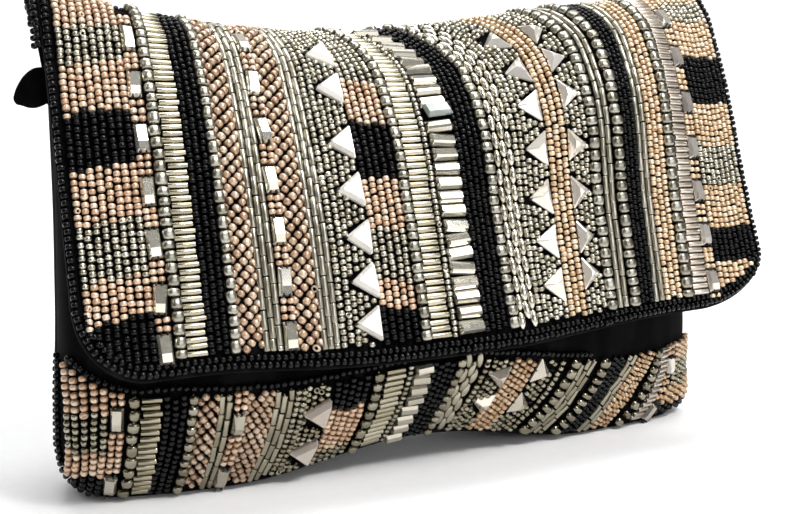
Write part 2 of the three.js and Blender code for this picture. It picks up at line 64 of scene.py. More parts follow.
# Where a stripe of the strip runs: its place at five heights, since stripes slant in towards the bottom at the right.
SLANT_Z = [3, 8, 13, 19, 29]
SLANT = [(-120, (-120, -120, -120, -120, -120)), (-110, (-110.2, -110.1, -110, -110, -110)), (-105, (-105.9, -105.6, -105.3, -105, -104.5)),
         (-98.8, (-100.1, -99.5, -99, -98.8, -98.4)), (-94.1, (-95.8, -95.4, -94.9, -94.6, -94)), (-88.3, (-90.7, -90, -89.2, -88.6, -87.8)),
         (-83.4, (-85.6, -85, -84.4, -83.8, -83.1)), (-79.1, (-81.8, -81, -80.3, -79.5, -78.3)), (-74.7, (-77.6, -76.9, -76.2, -75.6, -74.8)),
         (-71, (-73.6, -72.8, -72, -71.2, -70.2)), (-65, (-69, -67.7, -66.4, -65.4, -64.6)), (-58.5, (-62.6, -61.4, -60, -59, -57.9)),
         (-48, (-51.6, -50.6, -49.4, -48.6, -47.6)), (-37.5, (-41, -39.8, -38.7, -37.9, -37)), (-24, (-27, -26, -25, -24.2, -23.4)),
         (-15.3, (-18.3, -17.4, -16.4, -15.3, -14.2)), (-8, (-12.2, -11, -10.3, -9.2, -7.4)), (-2.6, (-7, -6.3, -5.4, -4.2, -1.9)),
         (2, (-2.9, -2.4, -1.4, -0.2, 2.6)), (11, (3.9, 5.6, 8.2, 10.5, 13)), (19.5, (11.4, 13, 15.3, 18.1, 21.6)),
         (28, (18.5, 20.6, 24, 26.6, 30.6)), (33.1, (23.6, 26, 29.6, 32.4, 36.2)), (37.1, (28, 31, 34.3, 37.2, 41)),
         (42.8, (33.4, 36.7, 39.9, 43, 46.9)), (49.7, (40.9, 44.3, 48, 51, 54.8)), (60.3, (52, 55.3, 58.6, 62.2, 67.2)),
         (67.7, (58.2, 61.9, 66.2, 70, 75.2)), (74.2, (66.8, 71.4, 75.4, 78.6, 80.2)), (78.5, (74.6, 78.6, 82.2, 84.3, 83.6)),
         (82.8, (79.4, 83, 86.6, 88.3, 87)), (84.6, (81, 85, 89.2, 90.6, 89))]


def smooth(xs, ys, x):
    xs, ys, x = np.asarray(xs, float), np.asarray(ys, float), np.asarray(x, float)
    d = np.diff(xs)
    s = np.diff(ys) / d
    m = np.empty(len(xs))
    m[0], m[-1] = s[0], s[-1]
    m[1:-1] = (s[1:] * d[:-1] + s[:-1] * d[1:]) / (d[1:] + d[:-1])
    i = np.clip(np.searchsorted(xs, x, side="right") - 1, 0, len(xs) - 2)
    t = np.clip((x - xs[i]) / d[i], -0.5, 1.5)
    t2, t3 = t * t, t * t * t
    return (2 * t3 - 3 * t2 + 1) * ys[i] + (t3 - 2 * t2 + t) * d[i] * m[i] + (3 * t2 - 2 * t3) * ys[i + 1] + (t3 - t2) * d[i] * m[i + 1]


def unit(a):
    return a / np.maximum(np.linalg.norm(a, axis=-1, keepdims=True), 1e-12)


# ---------------------------------------------------------------- the flap's surface
STEP = 0.5
GU, GV = np.arange(-118, 118.01, STEP), np.arange(-8, 152.01, STEP)


def flap_grid():
    P = np.zeros((len(GU), len(GV), 3))
    ends = np.zeros(len(GU))
    for k, u in enumerate(GU):
        y = np.array([smooth(SECT_X, a, u) for a in SECT_Y])
        z = np.array([smooth(SECT_X, a, u) for a in SECT_Z])
        c = np.r_[0, np.cumsum(np.hypot(np.diff(y), np.diff(z)))]
        f = np.linspace(0, c[-1], 241)
        yy, zz = smooth(c, y, f), smooth(c, z, f)
        along = np.r_[0, np.cumsum(np.hypot(np.diff(yy), np.diff(zz)))]
        ends[k] = along[-1]
        low, high = np.minimum(GV, 0), np.maximum(GV - along[-1], 0)
        a, b = 4 / along[4], 4 / (along[-1] - along[-5])
        P[k, :, 1] = np.interp(GV, along, yy) + low * (yy[4] - yy[0]) * a / 4 + high * (yy[-1] - yy[-5]) * b / 4
        P[k, :, 2] = np.interp(GV, along, zz) + low * (zz[4] - zz[0]) * a / 4 + high * (zz[-1] - zz[-5]) * b / 4
        q = np.clip((GV - 85) / 25, 0, 1.4)
        P[k, :, 0] = u - 10 * math.exp(-((u - 8) / 45) ** 2) * q * q
    return P, ends


GP, GEND = flap_grid()
GTU, GTV = unit(np.gradient(GP, axis=0)), unit(np.gradient(GP, axis=1))
GN = unit(np.cross(GTU, GTV))


def flap(u, v):
    """Place, outward normal, direction across and direction up the flap."""
    u, v = np.broadcast_arrays(np.asarray(u, float), np.asarray(v, float))
    a = np.clip((u - GU[0]) / STEP, 0, len(GU) - 1.001)
    b = np.clip((v - GV[0]) / STEP, 0, len(GV) - 1.001)
    i, j = a.astype(int), b.astype(int)
    fa, fb = (a - i)[..., None], (b - j)[..., None]

    def mix(G):
        return (G[i, j] * (1 - fa) + G[i + 1, j] * fa) * (1 - fb) + (G[i, j + 1] * (1 - fa) + G[i + 1, j + 1] * fa) * fb
    return mix(GP), unit(mix(GN)), unit(mix(GTU)), unit(mix(GTV))


def flap_end(u):
    return np.interp(u, GU, GEND)


def bead_end(u):
    return 70 + (flap_end(u) - 70) * 12 / 15


def drop(u):
    return np.interp(u, *HEM_DROP)


def hem(u):
    """Height along the flap of the cloth's lower edge, which turns up the sides in round corners."""
    u = np.asarray(u, float)
    wide, high, p = (np.where(u > 0, r, l) for l, r in zip(HEM_TURN["left"], HEM_TURN["right"]))
    over = np.clip((np.abs(u) - (FLAP_HALF - wide)) / wide, 0, 1)
    return high - (high + drop(u)) * (1 - over ** p) ** (1 / p)


def hem_line(inset, n=500):
    """A line along the flap's sides and hem, that far in from the edge: down the left, along and up the right."""
    u = FLAP_HALF * np.sin(np.linspace(-0.5, 0.5, n) * math.pi)
    sides = [np.linspace(float(bead_end(s * 113)) - 1, float(hem(s * FLAP_HALF)), 160) for s in (-1, 1)]
    uv = np.stack([np.r_[np.full(159, -FLAP_HALF), u, np.full(159, FLAP_HALF)], np.r_[sides[0][:-1], hem(u), sides[1][-2::-1]]], 1)
    t = unit(np.gradient(uv, axis=0))
    uv = uv + np.stack([-t[:, 1], t[:, 0]], 1) * inset
    return uv[:, 0], uv[:, 1]


# ---------------------------------------------------------------- the pouch's surfaces
def level(name, z):
    return smooth(LEVEL_Z, LEVEL[name], z)


def arch(x, z):
    q = np.clip((x + 8) / 64, -1, 1)
    return 7.8 * np.cos(q * math.pi / 2) ** 2 * np.clip(1 - z / 70, 0, 1)


def reach(right, z):
    return np.where(right, level("right", z), level("left", z))


def front_power(right, z):
    return np.where(right, RIGHT_POWER + (FOOT_POWER - RIGHT_POWER) * np.clip(1 - np.asarray(z, float) / 16, 0, 1), LEFT_POWER)


def front_point(x, z):
    x, z = np.broadcast_arrays(np.asarray(x, float), np.asarray(z, float))
    right = x > POUCH_X
    p = front_power(right, z)
    q = np.clip(np.abs(x - POUCH_X) / reach(right, z), 0, 1)
    deep = (1 - q ** p) ** (1 / p)
    return np.stack([x, level("seam", z) - GAP / 2 + (level("front", z) - level("seam", z)) * deep, z + arch(x, z)], -1)


def front(x, z):
    """Place, outward normal, direction across and direction up the pouch's front."""
    x, z = np.broadcast_arrays(np.asarray(x, float), np.asarray(z, float))
    P = front_point(x, z)
    tu = unit(front_point(x + 0.05, z) - front_point(x - 0.05, z))
    tv = unit(front_point(x, z + 0.3) - front_point(x, np.maximum(z - 0.3, 0)))
    return P, unit(np.cross(tu, tv)), tu, tv


def strip_top(x):
    return smooth(*STRIP_TOP, x)


def slant(s, z):
    """How far a stripe at s has moved across by the height z."""
    rows = np.array([np.interp(s, [k for k, _ in SLANT], [p[j] for _, p in SLANT]) for j in range(len(SLANT_Z))])
    return np.interp(z, SLANT_Z, rows) - s


# ---------------------------------------------------------------- bead shapes
def lathe(profile, segments, power=2.0):
    """A ring of rings round the Y axis, closed on itself, with a squarer section at a higher power."""
    t = 2 * math.pi * (np.arange(segments) + 0.5) / segments
    c, s = np.cos(t), np.sin(t)
    cx, cz = np.sign(c) * np.abs(c) ** (2 / power), np.sign(s) * np.abs(s) ** (2 / power)
    k = len(profile)
    V = np.array([[r * cx[j], y, r * cz[j]] for y, r in profile for j in range(segments)])
    faces, uv = [], []
    for a in range(k):
        for j in range(segments):
            b, n = (a + 1) % k, (j + 1) % segments
            faces.append([a * segments + j, a * segments + n, b * segments + n, b * segments + j])
            uv.append([(j / segments, a / k), ((j + 1) / segments, a / k), ((j + 1) / segments, (a + 1) / k), (j / segments, (a + 1) / k)])
    return V, faces, uv, True


def solid(V, faces):
    """A closed cut shape from its corners and faces, each face flat and with its own patch of the map."""
    n = math.ceil(math.sqrt(len(faces)))
    uv = []
    for k, f in enumerate(faces):
        cx, cy = (k % n + 0.5) / n, (k // n + 0.5) / n
        a = 2 * math.pi * np.arange(len(f)) / len(f)
        uv.append([(cx + 0.4 / n * math.cos(t), cy + 0.4 / n * math.sin(t)) for t in a])
    return np.array(V, float), faces, uv, False


def stepped(rings):
    """A cut stone: rings of corners from its foot to its table, closed below and above."""
    n = len(rings[0])
    V = [p for r in rings for p in r]
    faces = [list(range(n))[::-1]]
    for a in range(len(rings) - 1):
        for j in range(n):
            k = (j + 1) % n
            faces.append([a * n + j, a * n + k, (a + 1) * n + k, (a + 1) * n + j])
    faces.append([(len(rings) - 1) * n + j for j in range(n)])
    return solid(V, faces)


def oblong(w, l, cut, z):
    return [(-w + cut, -l, z), (w - cut, -l, z), (w, -l + cut, z), (w, l - cut, z), (w - cut, l, z), (-w + cut, l, z), (-w, l - cut, z), (-w, -l + cut, z)]


def roofed(w, l, ridge, along=True, fall=0.2):
    """A step-cut oblong stone whose table is two facets that meet in a low ridge, across it or along it."""
    rings = [oblong(0.9, 0.95, 0.06, 0.0), oblong(1.0, 1.0, 0.07, 0.12), oblong(1.0, 1.0, 0.07, 0.42)]
    top = [(x, y, 1.0 - fall * abs((y if along else x) - ridge)) for x, y, _ in oblong(w, l, 0.05, 0.0)]
    V = [p for r in rings for p in r] + top + ([(-w, ridge, 1.0), (w, ridge, 1.0)] if along else [(ridge, -l, 1.0), (ridge, l, 1.0)])
    faces = [list(range(8))[::-1]]
    for a in range(3):
        for j in range(8):
            k = (j + 1) % 8
            faces.append([a * 8 + j, a * 8 + k, (a + 1) * 8 + k, (a + 1) * 8 + j])
    if along:
        split, tables = {2: 33, 6: 32}, [[33, 27, 28, 29, 30, 32], [32, 31, 24, 25, 26, 33]]
    else:
        split, tables = {0: 32, 4: 33}, [[32, 25, 26, 27, 28, 33], [33, 29, 30, 31, 24, 32]]
    for j, m in split.items():
        g, h, a, b = 16 + j, 16 + (j + 1) % 8, 24 + j, 24 + (j + 1) % 8
        faces.remove([g, h, b, a])
        faces += [[g, h, m], [h, b, m], [g, m, a]]
    return solid(V, faces + tables)


def three(k, z, cut=0.05):
    """Triangle with its upright side at x = 0 and its tip at x = -1, drawn in by k about its middle."""
    pts = []
    corners = [(0.0, -0.5), (0.0, 0.5), (-1.0, 0.0)]
    for a in range(3):
        p, q, r = np.array(corners[a]), np.array(corners[(a + 1) % 3]), np.array(corners[(a + 2) % 3])
        for t in (p + (r - p) * cut, p + (q - p) * cut):
            w = np.array([-1 / 3, 0]) + (t - np.array([-1 / 3, 0])) * k
            pts.append((w[0], w[1], z))
    return pts


SHAPES = {
    "seed": lathe([(-0.34, 1.0), (0.34, 1.0), (0.76, 0.87), (1.0, 0.5), (-1.0, 0.5), (-0.76, 0.87)], 10),
    "cube": lathe([(-0.48, 1.0), (0.48, 1.0), (0.82, 0.88), (1.0, 0.62), (0.94, 0.36), (-0.94, 0.36), (-1.0, 0.62), (-0.82, 0.88)], 12, 2.7),
    "nugget": lathe([(-0.42, 1.0), (0.42, 1.0), (0.78, 0.86), (0.98, 0.58), (0.94, 0.34), (-0.94, 0.34), (-0.98, 0.58), (-0.78, 0.86)], 12, 2.35),
    "bugle": lathe([(-0.985, 0.95), (-0.94, 1.0), (0.94, 1.0), (0.985, 0.95), (1.0, 0.8), (0.98, 0.5), (-0.98, 0.5), (-1.0, 0.8)], 10),
    "rice": lathe([(-0.93, 0.42), (-0.6, 0.8), (-0.2, 0.98), (0.2, 0.98), (0.6, 0.8), (0.93, 0.42), (0.97, 0.22), (-0.97, 0.22)], 10),
    "baguette": roofed(0.66, 0.86, -0.3),
    "rung": roofed(0.62, 0.9, 0.25, along=False),
    "table": stepped([three(0.92, 0.0), three(1.0, 0.14), three(1.0, 0.5), three(0.76, 1.0)]),
    "pyramid": stepped([three(0.92, 0.0), three(1.0, 0.12), three(1.0, 0.3), three(0.3, 0.94), three(0.2, 1.0)]),
    "claw": stepped([oblong(0.9, 0.9, 0.3, -1.0), oblong(1.0, 1.0, 0.35, 0.1), oblong(0.75, 0.8, 0.3, 0.75), oblong(0.3, 0.4, 0.15, 1.0)]),
}
WORK = {}


def put(piece, shape, look, P, T, N, size, lift, tilt=0.06, vary=0.05, twist=0.0, shift=0.08):
    """Sew beads on: at places P, their holes along T, N outward, half sizes along width, length and height."""
    P, T, N = np.atleast_2d(P), np.atleast_2d(T), np.atleast_2d(N)
    n = len(P)
    if n == 0:
        return
    T, N = np.broadcast_to(T, (n, 3)), np.broadcast_to(N, (n, 3))
    X = unit(np.cross(T, N))
    Y = unit(np.cross(N, X))
    w = rng.normal(0, tilt, (n, 3))
    turned = rng.random(n) < twist
    w[turned] = rng.uniform(0.5, 1.1, (int(turned.sum()), 3)) * rng.choice([-1, 1], (int(turned.sum()), 3)) * np.array([1.0, 0.5, 0.6])
    spin = w[:, :1] * X + w[:, 1:2] * Y + w[:, 2:] * N
    ang = np.linalg.norm(spin, axis=1, keepdims=True)
    k = spin / np.maximum(ang, 1e-9)

    def rot(a):
        return a * np.cos(ang) + np.cross(k, a) * np.sin(ang) + k * np.sum(k * a, 1, keepdims=True) * (1 - np.cos(ang))
    s = np.broadcast_to(np.asarray(size, float), (n, 3)) * (1 + rng.normal(0, vary, (n, 3)).clip(-0.14, 0.14))
    place = P + N * np.broadcast_to(np.asarray(lift, float), (n,))[:, None] + X * rng.normal(0, shift, (n, 1)) + Y * rng.normal(0, shift, (n, 1))
    WORK.setdefault(piece, []).append((shape, look, place, rot(X) * s[:, :1], rot(Y) * s[:, 1:2], rot(N) * s[:, 2:], rng.random(n)))


SEED = np.array([1.03, 0.8, 1.04])


def seeds(piece, look, P, T, N, k=1.0, lift=1.02, tilt=0.1, twist=0.018, shift=0.09):
    for name in sorted(set(np.atleast_1d(look))):
        m = np.broadcast_to(np.asarray(look), (len(P),)) == name
        put(piece, "seed", name, P[m], T[m], N[m], SEED * k, lift * k, tilt=tilt, vary=0.055, twist=0 if name == "black" else twist, shift=shift)


# ---------------------------------------------------------------- stripes
FLAP_PIECES = [(-94.1, "left_block"), (-59.4, "left_bugles"), (-38.9, "rope"), (-6.0, "middle_block"), (24.3, "rice"),
               (40.3, "peach"), (91.5, "right_bugles"), (200, "right_block")]
FRONT_PIECES = [(-105.2, "left_block"), (-73.4, "left_bugles"), (-52.4, "rope"), (-18.4, "middle_block"), (6.6, "rice"),
                (23.8, "peach"), (80.8, "right_bugles"), (200, "right_block")]
PITCH = 1.88


def ragged(edges, looks, v, k, steps):
    """Colour of the bead at v in column k: blocks whose edges step up or down by a bead from column to column."""
    e = np.array(edges, float) + steps[k % len(steps)]
    return np.array(looks)[np.searchsorted(e, v)]


class Flap:
    """The flap: columns run straight up it."""
    name, pieces = "flap", FLAP_PIECES

    def piece(self, u):
        return "flap_beads_" + next(p for top, p in self.pieces if u < top)

    def about(self, u):
        return self

    def at(self, u, v):
        return flap(u, v)

    def span(self, u, start=2.1, end=0.4):
        return max(start, float(hem(u)) + 3.9), float(bead_end(u)) - end

    def column(self, u, pitch, offset=0.0, **more):
        low, high = self.span(u, **more)
        v = np.arange(low + pitch * (0.5 + offset), high - pitch * 0.5, pitch)
        return np.full(len(v), float(u)), v


class Strip:
    """The strip on the pouch's front: a stripe's columns slant together, about the stripe's middle."""
    name, pieces, middle = "front", FRONT_PIECES, 0.0

    def piece(self, u):
        return "front_beads_" + next(p for top, p in self.pieces if u < top)

    def about(self, u):
        self.middle = float(u)
        return self

    def across(self, u, z):
        return np.asarray(u, float) + slant(self.middle, z)

    def at(self, u, z):
        u, z = np.broadcast_arrays(np.asarray(u, float), np.asarray(z, float))
        P, N, TU, TV = front(self.across(u, z), z)
        up = front_point(self.across(u, z + 0.3), z + 0.3) - front_point(self.across(u, np.maximum(z - 0.3, 0)), np.maximum(z - 0.3, 0))
        return P, N, TU, unit(up)

    def span(self, u, start=0.5, end=2.4):
        z = np.linspace(1.6, 46, 300)
        x = self.across(u, z)
        ok = (np.abs(x - POUCH_X) + np.where(x > POUCH_X, 0.9, 0.5) < reach(x > POUCH_X, z)) & (z < strip_top(x))
        P = front_point(x[ok], z[ok])
        return z[ok], np.r_[0, np.cumsum(np.linalg.norm(np.diff(P, axis=0), axis=1))], start, end

    def column(self, u, pitch, offset=0.0, **more):
        z, l, start, end = self.span(u, **more)
        at = np.arange(l[-1] - end - pitch * (0.5 + offset), start + pitch * 0.3, -pitch)
        return np.full(len(at), float(u)), np.interp(at, l, z)


F, S = Flap(), Strip()


def seed_columns(c, us, colour, piece=None, pitch=PITCH, stagger=0.0, k=1.0, **more):
    c.about(float(np.mean(us)))
    for i, u in enumerate(us):
        a, v = c.column(u, pitch * k, offset=stagger * (i % 2) + rng.uniform(-0.12, 0.12))
        v = v + rng.normal(0, 0.07, len(v))
        P, N, TU, TV = c.at(a, v)
        look = colour(v, i) if callable(colour) else np.full(len(v), colour)
        seeds(piece or c.piece(u), look, P, TV, N, k, **more)


def spaced(left, width, n):
    return left + width * (np.arange(n) + 0.5) / n


def cubes(c, u, width, pitch=3.32, piece=None, look="cube"):
    """A column of square beads, no two cut to quite the same length."""
    a, v = c.about(u).column(u, 0.1)
    low, high = float(np.min(v)) - 0.3, float(np.max(v)) + 0.3
    long = pitch * rng.choice([0.78, 0.92, 1.0, 1.0, 1.06, 1.18], 60)
    ends = low + np.r_[0, np.cumsum(long)]
    k = int(np.searchsorted(ends, high)) - 1
    ends = low + (ends[:k + 1] - low) * (high - low) / (ends[k] - low)
    v, half = (ends[1:] + ends[:-1]) / 2, np.diff(ends) / 2
    P, N, TU, TV = c.at(u + rng.normal(0, 0.14, k), v)
    s = np.stack([width / 2 * rng.uniform(0.93, 1.07, k), half * rng.uniform(0.86, 0.93, k), np.full(k, 1.55)], 1)
    put(piece or c.piece(u), "cube" if c is F else "nugget", look, P, TV, N, s, 1.4, tilt=0.09, vary=0.02, shift=0.06)


def ladder(c, u, width, look, pitch=1.98, piece=None, thick=0.93):
    a, v = c.about(u).column(u, pitch)
    n = len(v)
    v = v + rng.normal(0, 0.05, n)
    P, N, TU, TV = c.at(a + rng.normal(0, 0.2, n), v)
    s = np.stack([np.full(n, thick) * rng.uniform(0.96, 1.02, n), np.full(n, width / 2 - 0.08) * rng.uniform(0.94, 1.02, n), np.full(n, thick)], 1)
    put(piece or c.piece(u), "bugle", look, P, TU, N, s, 0.95 + rng.normal(0, 0.04, n), tilt=0.014, vary=0.01, shift=0.03)


def bugles(c, left, width, n, look, long=5.75, piece=None):
    """Tubes end to end up a column, the first and last cut to what is left of it."""
    c.about(left + width / 2)
    for i, u in enumerate(spaced(left, width, n)):
        a, fine = c.column(u, 0.25)
        fine = np.sort(fine)
        line = c.at(np.full(len(fine), u), fine)[0]
        l = np.r_[0, np.cumsum(np.linalg.norm(np.diff(line, axis=0), axis=1))]
        cuts = np.unique(np.clip(np.arange(-(0.0, 0.38, 0.72)[i % 3] * long, l[-1] + long, long), 0, l[-1]))
        half = np.diff(cuts) / 2
        mid = (cuts[:-1] + half)[half > 0.8]
        half = half[half > 0.8]
        P, N, TU, TV = c.at(np.full(len(mid), u), np.interp(mid, l, fine))
        r = min(0.98, width / n / 2 * 0.96)
        put(piece or c.piece(u), "bugle", look, P, TV, N, np.stack([np.full(len(mid), r), half - 0.14, np.full(len(mid), r)], 1), 0.95, tilt=0.014 if c is F else 0.035, vary=0.012, shift=0.05)


def rices(c, left, width, n, piece=None, long=5.9):
    c.about(left + width / 2)
    for i, u in enumerate(spaced(left, width, n)):
        a, v = c.column(u, long * 0.95, offset=(0.0, 0.5)[i % 2] - 0.4, start=3.6 if c is F else 1.4)
        P, N, TU, TV = c.at(a, v)
        put(piece or c.piece(u), "rice", "rice", P, unit(TV - TU * 0.03), N, [1.27, long / 2 * 0.95, 1.2], 1.12 + 0.16 * (i == 1), tilt=0.03, vary=0.03, shift=0.06)


def rope(c, left, width, piece=None, rise=1.2, pitch=3.75, look="rope", k=1.0):
    """Steep slanting rows of five or six beads, arched over like the turns of a rope, the outer ones half out of sight."""
    mid = left + width / 2
    low, high = c.about(mid).column(mid, 0.1)[1][[0, -1]] if c is F else c.about(mid).column(mid, 0.1)[1][[-1, 0]]
    rows = np.arange(low - 4 * rise, high + 4 * rise, pitch * k)
    for t in np.linspace(-1, 1, round(width / 1.2 / k)):
        w = 0.45 * width * t
        v = rows + w * rise + rng.normal(0, 0.06, len(rows))
        v = v[(v > low + 0.6) & (v < high - 0.3)]
        P, N, TU, TV = c.at(mid + w + rng.normal(0, 0.06, len(v)), v)
        lean = unit(N + TU * 0.56 * t)
        put(piece or c.piece(mid), "seed", look, P, unit(TU + TV * rise), lean, [1.2 * k, 1.0 * k, 1.08 * k],
            1.36 - 0.74 * t * t, tilt=0.1, vary=0.06, twist=0.025, shift=0.06)


def stones(c, piece, u, width, places, long, groups=2, look="foil", group_look="peach", high=2.5):
    """A column of standing baguettes, a few beads sewn in each space between two of them."""
    v = np.array(places, float)
    P, N, TU, TV = c.about(u).at(np.full(len(v), float(u)), v)
    n = len(v)
    put(piece, "baguette", look, P, TV, N, np.stack([np.full(n, width / 2 * 0.94), np.full(n, long / 2), np.full(n, high)], 1), 0.3, tilt=0.045, vary=0.015, shift=0.06)
    for end in (-1, 1):
        for side in (-0.42, 0.38):
            Q, M, A, B = c.at(np.full(n, u + side * width * 0.5), v + end * (long / 2 - 0.12))
            put(piece, "claw", "claw", Q, B, M, [0.26, 0.6, 1.2], 1.5, tilt=0.14, vary=0.12, shift=0.12)
    gap = v[1] - v[0] if n > 1 else 14
    for a, b in zip(np.r_[v[0] - gap, v], np.r_[v, v[-1] + gap]):
        room = (b - a) - long - 0.7
        rows = int(room // 1.84)
        for j in range(max(0, rows)):
            at = (a + b) / 2 + (j - (rows - 1) / 2) * room / rows
            if c is F and not 2.4 < at < float(bead_end(u)) - 1.4:
                continue
            if c is S and not 3.0 < at < float(strip_top(u)) - 2.4:
                continue
            for s in spaced(u - width * 0.5, width, groups):
                Q, M, A, B = c.at(np.array([s]), np.array([at]))
                seeds(piece, np.array([group_look]), Q, B, M, 0.98, twist=0.03)


def triangles(c, piece, side, tip, places, tall, shape, fill, fill_from, fill_to, look="mirror", high=3.6):
    """A column of triangle stones, their upright sides in line, with beads in the spaces between them."""
    v = np.array(places, float)
    n = len(v)
    flip = 1 if tip < side else -1
    P, N, TU, TV = c.about((side + tip) / 2).at(np.full(n, float(side)), v)
    wide = abs(tip - side)
    # The shape's tip is at -x, so a stone that points the other way is turned half round.
    put(piece, shape, look, P, TV * flip, N, np.stack([np.full(n, wide), np.full(n, tall), np.full(n, high - 0.35)], 1), 0.35, tilt=0.045, vary=0.012, shift=0.05)
    for du, dv in ((0.02, 0.0), (0.9, 0.0)):
        Q, M, A, B = c.at(side + (tip - side) * du + np.zeros(n), v + dv)
        put(piece, "claw", "claw", Q, A, M, [0.28, 0.75, 1.0], 0.7 if shape == "pyramid" else 1.9 if du < 0.5 else 1.6, tilt=0.1, vary=0.1, shift=0.06)
    us = spaced(fill_from, fill_to - fill_from, round((fill_to - fill_from) / 1.95))
    for i, u in enumerate(us):
        a, w = c.column(u, PITCH, offset=0.5 * (i % 2))
        f = np.clip((u - side) / (tip - side), -0.05, 1.2)
        far = tall / 2 * (1 - f) + 0.6
        keep = np.array([np.all(np.abs(t - v) > far) for t in w]) if f < 1.08 else np.ones(len(w), bool)
        P, N, TU, TV = c.at(a[keep], w[keep])
        seeds(piece, np.full(int(keep.sum()), fill), P, TV, N, 0.95, twist=0.06, tilt=0.2, shift=0.14)


def border(on, places, piece_of, k=0.95, lift=0.95):
    """A single row of black beads along a line of places on the cloth."""
    u, v = places
    P, N, TU, TV = on(u, v)
    T = unit(np.gradient(P, axis=0))
    for name in sorted({piece_of(x) for x in u}):
        m = np.array([piece_of(x) == name for x in u])
        seeds(name, np.full(int(m.sum()), "black"), P[m], T[m], N[m], k, lift=lift, shift=0.1)


def along_line(u, v, pitch, on):
    P = on(u, v)[0]
    l = np.r_[0, np.cumsum(np.linalg.norm(np.diff(P, axis=0), axis=1))]
    at = np.arange(pitch / 2, l[-1], pitch)
    return np.interp(at, l, u), np.interp(at, l, v)


# ---------------------------------------------------------------- the flap's beadwork
def steps_of(n, far=0.95, seed=1):
    return np.random.default_rng(seed).uniform(-far, far, n)


A_EDGE, A_LOOK = [14, 25, 41.5, 56.3, 72, 86, 97.5], ["black", "peach", "pewter", "peach", "black", "peach", "pewter", "peach"]
C_EDGE, C_LOOK = [12, 20.5, 36, 51.5, 68.5, 84], ["black", "peach", "pewter", "peach", "black", "peach", "pewter"]
D_EDGE, D_LOOK = [13.5, 25.5, 40, 54, 68.5, 85, 98.5, 107.5], ["gold", "black", "gold", "pewter", "gold", "black", "gold", "pewter", "gold"]


def blocks(edges, looks, steps, slope=0.0, n=1):
    return lambda v, i: ragged(np.array(edges) + slope * (i / max(1, n - 1) - 0.5), looks, v, i, steps)


seed_columns(F, spaced(-112.2, 18.2, 8), blocks(A_EDGE, A_LOOK, steps_of(8, 0.9, 3), 2.0, 8))
stones(F, "flap_baguettes_left", -92.0, 4.1, [5, 18.5, 33.5, 48.2, 63.2, 79.2, 93.7], 8.2)
cubes(F, -88.1, 3.3)
ladder(F, -83.5, 6.0, "brass", 1.85, thick=0.88)
seed_columns(F, spaced(-80.5, 6.2, 3), "black", stagger=0.5)
cubes(F, -72.8, 3.1)
rope(F, -71.2, 6.0)
bugles(F, -65.2, 5.9, 3, "steel")
stones(F, "flap_baguettes_middle", -57.0, 4.3, [6.2, 21.7, 36, 51, 66, 81.5, 96.5], 8.0)
rope(F, -54.8, 6.3)
bugles(F, -48.5, 5.7, 3, "steel")
seed_columns(F, [-41.7, -39.4], "pewter", stagger=0.5, twist=0.06)
triangles(F, "flap_triangles_left", -30.2, -38.2, [8.7, 21, 33.5, 48, 62.7, 81, 94], 11.0, "table", "pewter", -38.4, -30.4, "white")
seed_columns(F, spaced(-30.0, 11.8, 5), blocks(C_EDGE, C_LOOK, steps_of(5, 1.0, 5)), stagger=0.5)
cubes(F, -16.5, 3.4)
ladder(F, -11.5, 6.5, "champagne")
seed_columns(F, [-7.05], "pewter", k=0.93, twist=0.1)
# The lying stones of the ladder, one of them loose and turned.
rungs = np.arange(4.6, float(bead_end(-1.5)) - 2.4, 4.4)
rungs = rungs[np.abs(rungs - 71.0) > 1.6]
P, N, TU, TV = flap(np.full(len(rungs), -1.55), rungs)
put("flap_baguettes_ladder", "rung", "foil", P, TU, N, [1.95, 4.15, 2.3], 0.3, tilt=0.06, vary=0.02, shift=0.1)
for du in (-4.2, 4.1):
    Q, M, A, B = flap(np.full(len(rungs), -1.55 + du), rungs + rng.normal(0, 0.5, len(rungs)))
    put("flap_baguettes_ladder", "claw", "claw", Q, A, M, [0.35, 0.5, 1.2], 1.2, tilt=0.2, vary=0.12, shift=0.15)
P, N, TU, TV = flap(np.array([-0.9]), np.array([70.9]))
put("flap_baguettes_ladder", "baguette", "smoke", P, unit(TU + 0.1 * TV), unit(N + 0.25 * TV), [2.6, 4.2, 2.0], 1.7, tilt=0.0, vary=0.0, shift=0.0)
seed_columns(F, spaced(2.7, 8.0, 4), "black", stagger=0.5, k=0.97)
cubes(F, 12.6, 3.5)
rices(F, 14.7, 6.6, 3)
seed_columns(F, [22.5], "pewter", twist=0.06)
triangles(F, "flap_triangles_middle", 33.1, 25.2, [12.7, 26.5, 40.7, 56, 69.7, 83.5, 98.5], 11.5, "pyramid", "pewter", 23.6, 33.3)
seed_columns(F, spaced(33.4, 7.1, 3), "gold", stagger=0.5)
triangles(F, "flap_triangles_right", 40.8, 47.3, [15, 26.7, 41.2, 56.2, 72.5, 85.5, 98], 10.8, "pyramid", "pewter", 40.6, 48.1)
cubes(F, 49.8, 3.6, 3.5)
bugles(F, 52.3, 4.7, 2, "steel", 6.1)
cubes(F, 59.2, 3.9, 3.55)
seed_columns(F, spaced(61.7, 5.2, 3), "black", stagger=0.5, k=0.92)
bugles(F, 66.8, 4.7, 2, "steel", 6.1)
seed_columns(F, spaced(71.5, 7.2, 3), "gold", stagger=0.5)
cubes(F, 80.7, 3.9, 3.55)
ladder(F, 86.2, 6.0, "rose", 2.0)
stones(F, "flap_baguettes_right", 91.7, 4.3, [7.7, 23.2, 38.2, 53, 68.5, 84.7, 99.7], 7.4, look="rosefoil", group_look="gold")
seed_columns(F, spaced(94.2, 18.4, 8), blocks(D_EDGE, D_LOOK, steps_of(8, 0.9, 9)), stagger=0.5)
